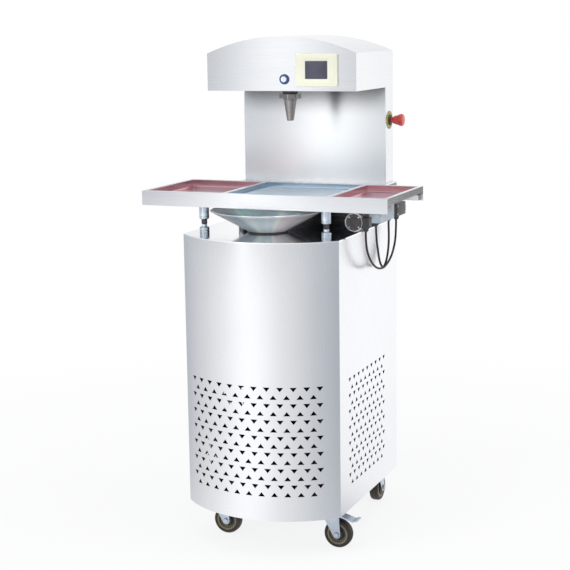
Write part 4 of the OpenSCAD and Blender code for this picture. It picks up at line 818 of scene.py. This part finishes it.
# Cable boxes
# Two moulded boxes with screwed lids, each with glands underneath for the hanging flexes: a grey one under
# the table, and a black one on the side of the plinth behind it.
grey_shell = speckled("grey_shell", (0.25, 0.30, 0.35), (0.33, 0.38, 0.43), 0.42, 0.003, 0.15)
black_shell = speckled("black_shell", (0.026, 0.025, 0.026), (0.055, 0.052, 0.052), 0.50, 0.003, 0.15)
lid_depth, lid_gap, screw_in = 0.002, 0.002, 0.008
junction_low, junction_high = (0.236, -0.005, 0.888), (0.274, 0.108, 0.941)
rear_low, rear_high = (0.213, 0.1315, 0.888), (0.274, 0.2135, 0.926)


def boxed(low, high):
    """A soft box with a lid on its right face and a screw at each corner of the lid."""
    (x0, y0, z0), (x1, y1, z1) = low, high
    made = [(soft_box(low, high, 0.003), 0),
            (soft_box((x1 - 0.003, y0 + lid_gap, z0 + lid_gap), (x1 + lid_depth, y1 - lid_gap, z1 - lid_gap),
                      0.0012), 0)]
    screw = eased([(0, 0), (0.0028, 0), (0.0026, 0.0006), (0.0012, 0.0009), (0, 0.0009)], 0.0004, 3)
    return made + [(revolve(screw, (x1 + lid_depth - 0.0003, y, z), rightward, 16), 2)
                   for y in (y0 + screw_in, y1 - screw_in) for z in (z0 + screw_in, z1 - screw_in)]


junction = boxed(junction_low, junction_high) + gland(inner_ends[0])
junction = add_piece("table_junction_box", junction, [grey_shell, gland_nylon, bright_cover], "table")
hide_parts("junction_box")
rear_box = boxed(rear_low, rear_high) + gland(outer_ends[1]) + gland(inner_ends[1])
rear_box = add_piece("plinth_cable_box", rear_box, [black_shell, gland_nylon, bright_cover], "cabinet")
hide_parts("rear_cable_box")
dress(grey_shell, "control_box")

# Nozzle
# A turned steel pouring nozzle hangs under the head from a dark cast ring. Two wings on its collar let it be
# undone by hand for cleaning.
# The steel is given a dark colour, painted shade that darkens the whole nozzle.
turned_steel = brushed("turned_steel", (0.30, 0.28, 0.275), 0.08, (60, 60, 700), streak=0.03, cloud=0.25)
spout_axis = (0, 0.020, 0)
wing_low, wing_high, wing_root, wing_tip = 1.2252, 1.2386, 0.0185, 0.0290
spout = eased([(0.0065, 1.1645), (0.0090, 1.1640), (0.0095, 1.1650), (0.0098, 1.1680), (0.0179, 1.2205),
               (0.0183, 1.2218), (0.0192, 1.2221), (0.0200, 1.2230), (0.0200, 1.2372), (0.0190, 1.2388),
               (0.0120, 1.2388), (0.0066, 1.1840), (0.0065, 1.1645)], 0.0008, 3)
nozzle = [(revolve(np.vstack([spout, spout[:1]]), spout_axis, upward, 64), 0)]
nozzle += [(plate([(s * wing_root, 0, 0.0048), (s * wing_tip, 0, 0.0040)], wing_low, wing_high, 0.0018,
                  spout_axis, rightward, rearward, upward), 0) for s in (-1, 1)]
nozzle = add_piece("pouring_nozzle", nozzle, [turned_steel], "cabinet")
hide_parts("nozzle")
dark_ring = speckled("dark_ring", (0.030, 0.020, 0.018), (0.060, 0.042, 0.038), 0.35, 0.003, 0.15, metal=0.3)
collar = eased([(0.0143, 1.2440), (0.0143, 1.2392), (0.0208, 1.2390), (0.0220, 1.2402), (0.0220, 1.2478),
                (0.0208, 1.2490), (0.0143, 1.2490), (0.0143, 1.2440)], 0.0006, 3)
union = add_piece("nozzle_ring", [(revolve(collar, spout_axis, upward, 56), 0)], [dark_ring], "cabinet")
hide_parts("nozzle_union")

# Control panel
# A touch screen in an ivory moulded bezel with rounded corners is fixed to the head's front. Its dark glass
# lies a little below the bezel's face.
ivory = speckled("ivory_plastic", (0.84, 0.83, 0.66), (0.89, 0.88, 0.74), 0.5, 0.004, 0.1)
front = -0.049
bezel_box, bezel_t = (0.046, 0.168, 1.262, 1.350), 0.006
screen_box, screen_t = (0.0747, 0.1393, 1.2817, 1.3303), 0.004


def grown(box, by, corner, y, count=48):
    """The loop of a rounded rectangle in X and Z at depth y, larger all round than a box by a distance."""
    x0, x1, z0, z1 = box
    loop = rounded_loop(x0 - by, x1 + by, z0 - by, z1 + by, corner, count)
    return np.column_stack([loop[:, 0], np.full(count, y), loop[:, 1]])


def bezel(outer, screen, back, face, recess):
    """Loops from the middle of the back, round the outside, over the face, down into the recess and across
    its floor."""
    loops = [grown(outer, 0, 0.004, back), grown(outer, 0, 0.004, face + 0.0016),
             grown(outer, -0.0006, 0.0036, face + 0.0005), grown(outer, -0.0018, 0.003, face),
             grown(screen, 0.006, 0.0015, face), grown(screen, 0.005, 0.0012, face + 0.0006),
             grown(screen, 0, 0.0008, face + 0.0008), grown(screen, 0, 0.0008, recess)]
    middle = ((outer[0] + outer[1]) / 2, (outer[2] + outer[3]) / 2)
    ends = [np.tile([middle[0], y, middle[1]], (len(loops[0]), 1)) for y in (back, recess)]
    return np.stack([ends[0], *loops, ends[1]])


surround = bezel(bezel_box, screen_box, front, front - bezel_t, front - screen_t)
panel = add_piece("panel_surround", [(surround, 0)], [ivory], "cabinet", crease=25.0)
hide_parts("panel_bezel")
screen_glass, tree, bsdf, add = shader("screen_glass")
place = add("TexCoord").outputs["Object"]
cells = add("TexChecker", [place], in_Scale=520.0, in_Color1=(0.058, 0.058, 0.088, 1),
            in_Color2=(0.078, 0.078, 0.112, 1))
cloud = add("TexNoise", [place], in_Scale=60.0, in_Detail=3.0)
tone = add("Mix", {"Factor": cloud, "A": cells}, data_type="RGBA", in_B=(0.070, 0.066, 0.105, 1))
tree.links.new(tone.outputs["Result"], bsdf.inputs["Base Color"])
bsdf.inputs["Roughness"].default_value = 0.22
glass = plate([(x, z, 0.0012) for x in (0.0762, 0.1378) for z in (1.2832, 1.3288)], 0.0042, 0.0057, 0.0003,
              (0, front, 0), rightward, upward, forward)
glass = add_piece("panel_glass", [(glass, 0)], [screen_glass], "cabinet")
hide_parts("panel_screen")

# Switches
# A lit push button with a blue ring and a white cap on the front, and a red mushroom emergency stop on a
# yellow disc on the right side of the column.
blue_ring = speckled("blue_ring", (0.010, 0.048, 0.185), (0.016, 0.070, 0.24), 0.25, 0.004, 0.05, coat=0.3)
# The cap's pale blue-white is partly its own colour and partly a painted highlight.
white_cap = speckled("white_cap", (0.74, 0.80, 0.86), (0.82, 0.86, 0.90), 0.28, 0.006, 0.05)
stop_yellow = speckled("stop_yellow", (0.29, 0.28, 0.075), (0.37, 0.35, 0.11), 0.45, 0.004, 0.1)
stop_red = speckled("stop_red", (0.50, 0.036, 0.028), (0.60, 0.06, 0.045), 0.28, 0.004, 0.05, coat=0.4)
button_at = (0.012, front, 1.281)
stop_at = (0.220, 0.231, 1.155)
well = [(0.0110, -0.034), (0.0, -0.034), (0.0, -0.030), (0.0081, -0.030)]
ring = eased([(0.0081, -0.030), (0.0081, 0.0044), (0.0092, 0.0050), (0.0120, 0.0048), (0.0140, 0.0028),
              (0.0140, 0.0), (0.0110, 0.0)] + well, 0.0006, 3)
stop_collar = eased([(0.0081, -0.030), (0.0081, 0.0060), (0.0092, 0.0065), (0.0138, 0.0065), (0.0150, 0.0053),
                     (0.0150, 0.0016), (0.0110, 0.0016)] + well, 0.0006, 3)
collars = [(revolve(ring, button_at, forward, 56), 0), (revolve(stop_collar, stop_at, rightward, 56), 1)]
collars = add_piece("switch_rings", collars, [blue_ring, cast_metal], "cabinet")
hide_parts("switch_collars")
cap = eased([(0, -0.017), (0.0080, -0.017), (0.0080, 0.0076), (0.0066, 0.0084), (0, 0.0085)], 0.0008, 3)
cap = add_piece("push_cap", [(revolve(cap, button_at, forward, 40), 0)], [white_cap], "button")
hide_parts("button_cap")
disc = eased([(0.0114, 0.0008), (0.0114, 0.0), (0.0260, 0.0), (0.0260, 0.0009), (0.0254, 0.0015),
              (0.0114, 0.0015), (0.0114, 0.0008)], 0.0003, 3)
disc = add_piece("stop_disc", [(revolve(disc, stop_at, rightward, 64), 0)], [stop_yellow], "cabinet")
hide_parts("estop_plate")
mushroom = eased([(0, -0.017), (0.0080, -0.017), (0.0080, 0.0135), (0.0106, 0.0136), (0.0114, 0.0155),
                  (0.0142, 0.0255), (0.0175, 0.0340), (0.0180, 0.0370), (0.0170, 0.0402), (0.0138, 0.0430),
                  (0.0080, 0.0443), (0, 0.0445)], 0.0014, 5)
mushroom = add_piece("stop_mushroom", [(revolve(mushroom, stop_at, rightward, 56), 0)], [stop_red], "estop",
                     crease=60.0)
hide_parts("estop_knob")

# Back covers
# The rear of the column and of the cabinet are flat covers held by domed screws, with slots over the
# compressor and an appliance inlet low on the right. Behind each slot the sheet is pressed in as a sloping
# louvre.
dome = eased([(0, 0), (0.0045, 0), (0.0043, 0.0010), (0.0030, 0.0021), (0, 0.0025)], 0.0006, 3)
screw_rows = [(0.263, z) for z in (0.989, 1.163, 1.337)] + [(0.269, z) for z in (0.122, 0.4865, 0.851)]
heads = [(revolve(dome, (x, y, z), rearward, 20), 0) for y, z in screw_rows for x in (-0.206, 0.206)]
heads = add_piece("cover_screw_heads", heads, [zinc], "cabinet")
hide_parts("cover_screws")
slope = 0.5 ** 0.5
louvre_y, louvre_d, louvre_half_t = 0.2665, 0.0125, 0.0005
slot_half_w, lowest_slot, slot_pitch, slot_count = 0.0555, 0.302, 0.022, 9
louvres = [(plate([(0, 0, louvre_half_t), (louvre_d, 0, louvre_half_t)], -slot_half_w, slot_half_w, 0.0002,
                  (0, louvre_y, lowest_slot + slot_pitch * i), slope * (forward + downward),
                  slope * (rearward + downward), rightward), 0) for i in range(slot_count)]
# The louvres inside the cabinet take the same painted shade.
louvres = add_piece("rear_louvres", louvres, [inside_shaded_upright], "cabinet")
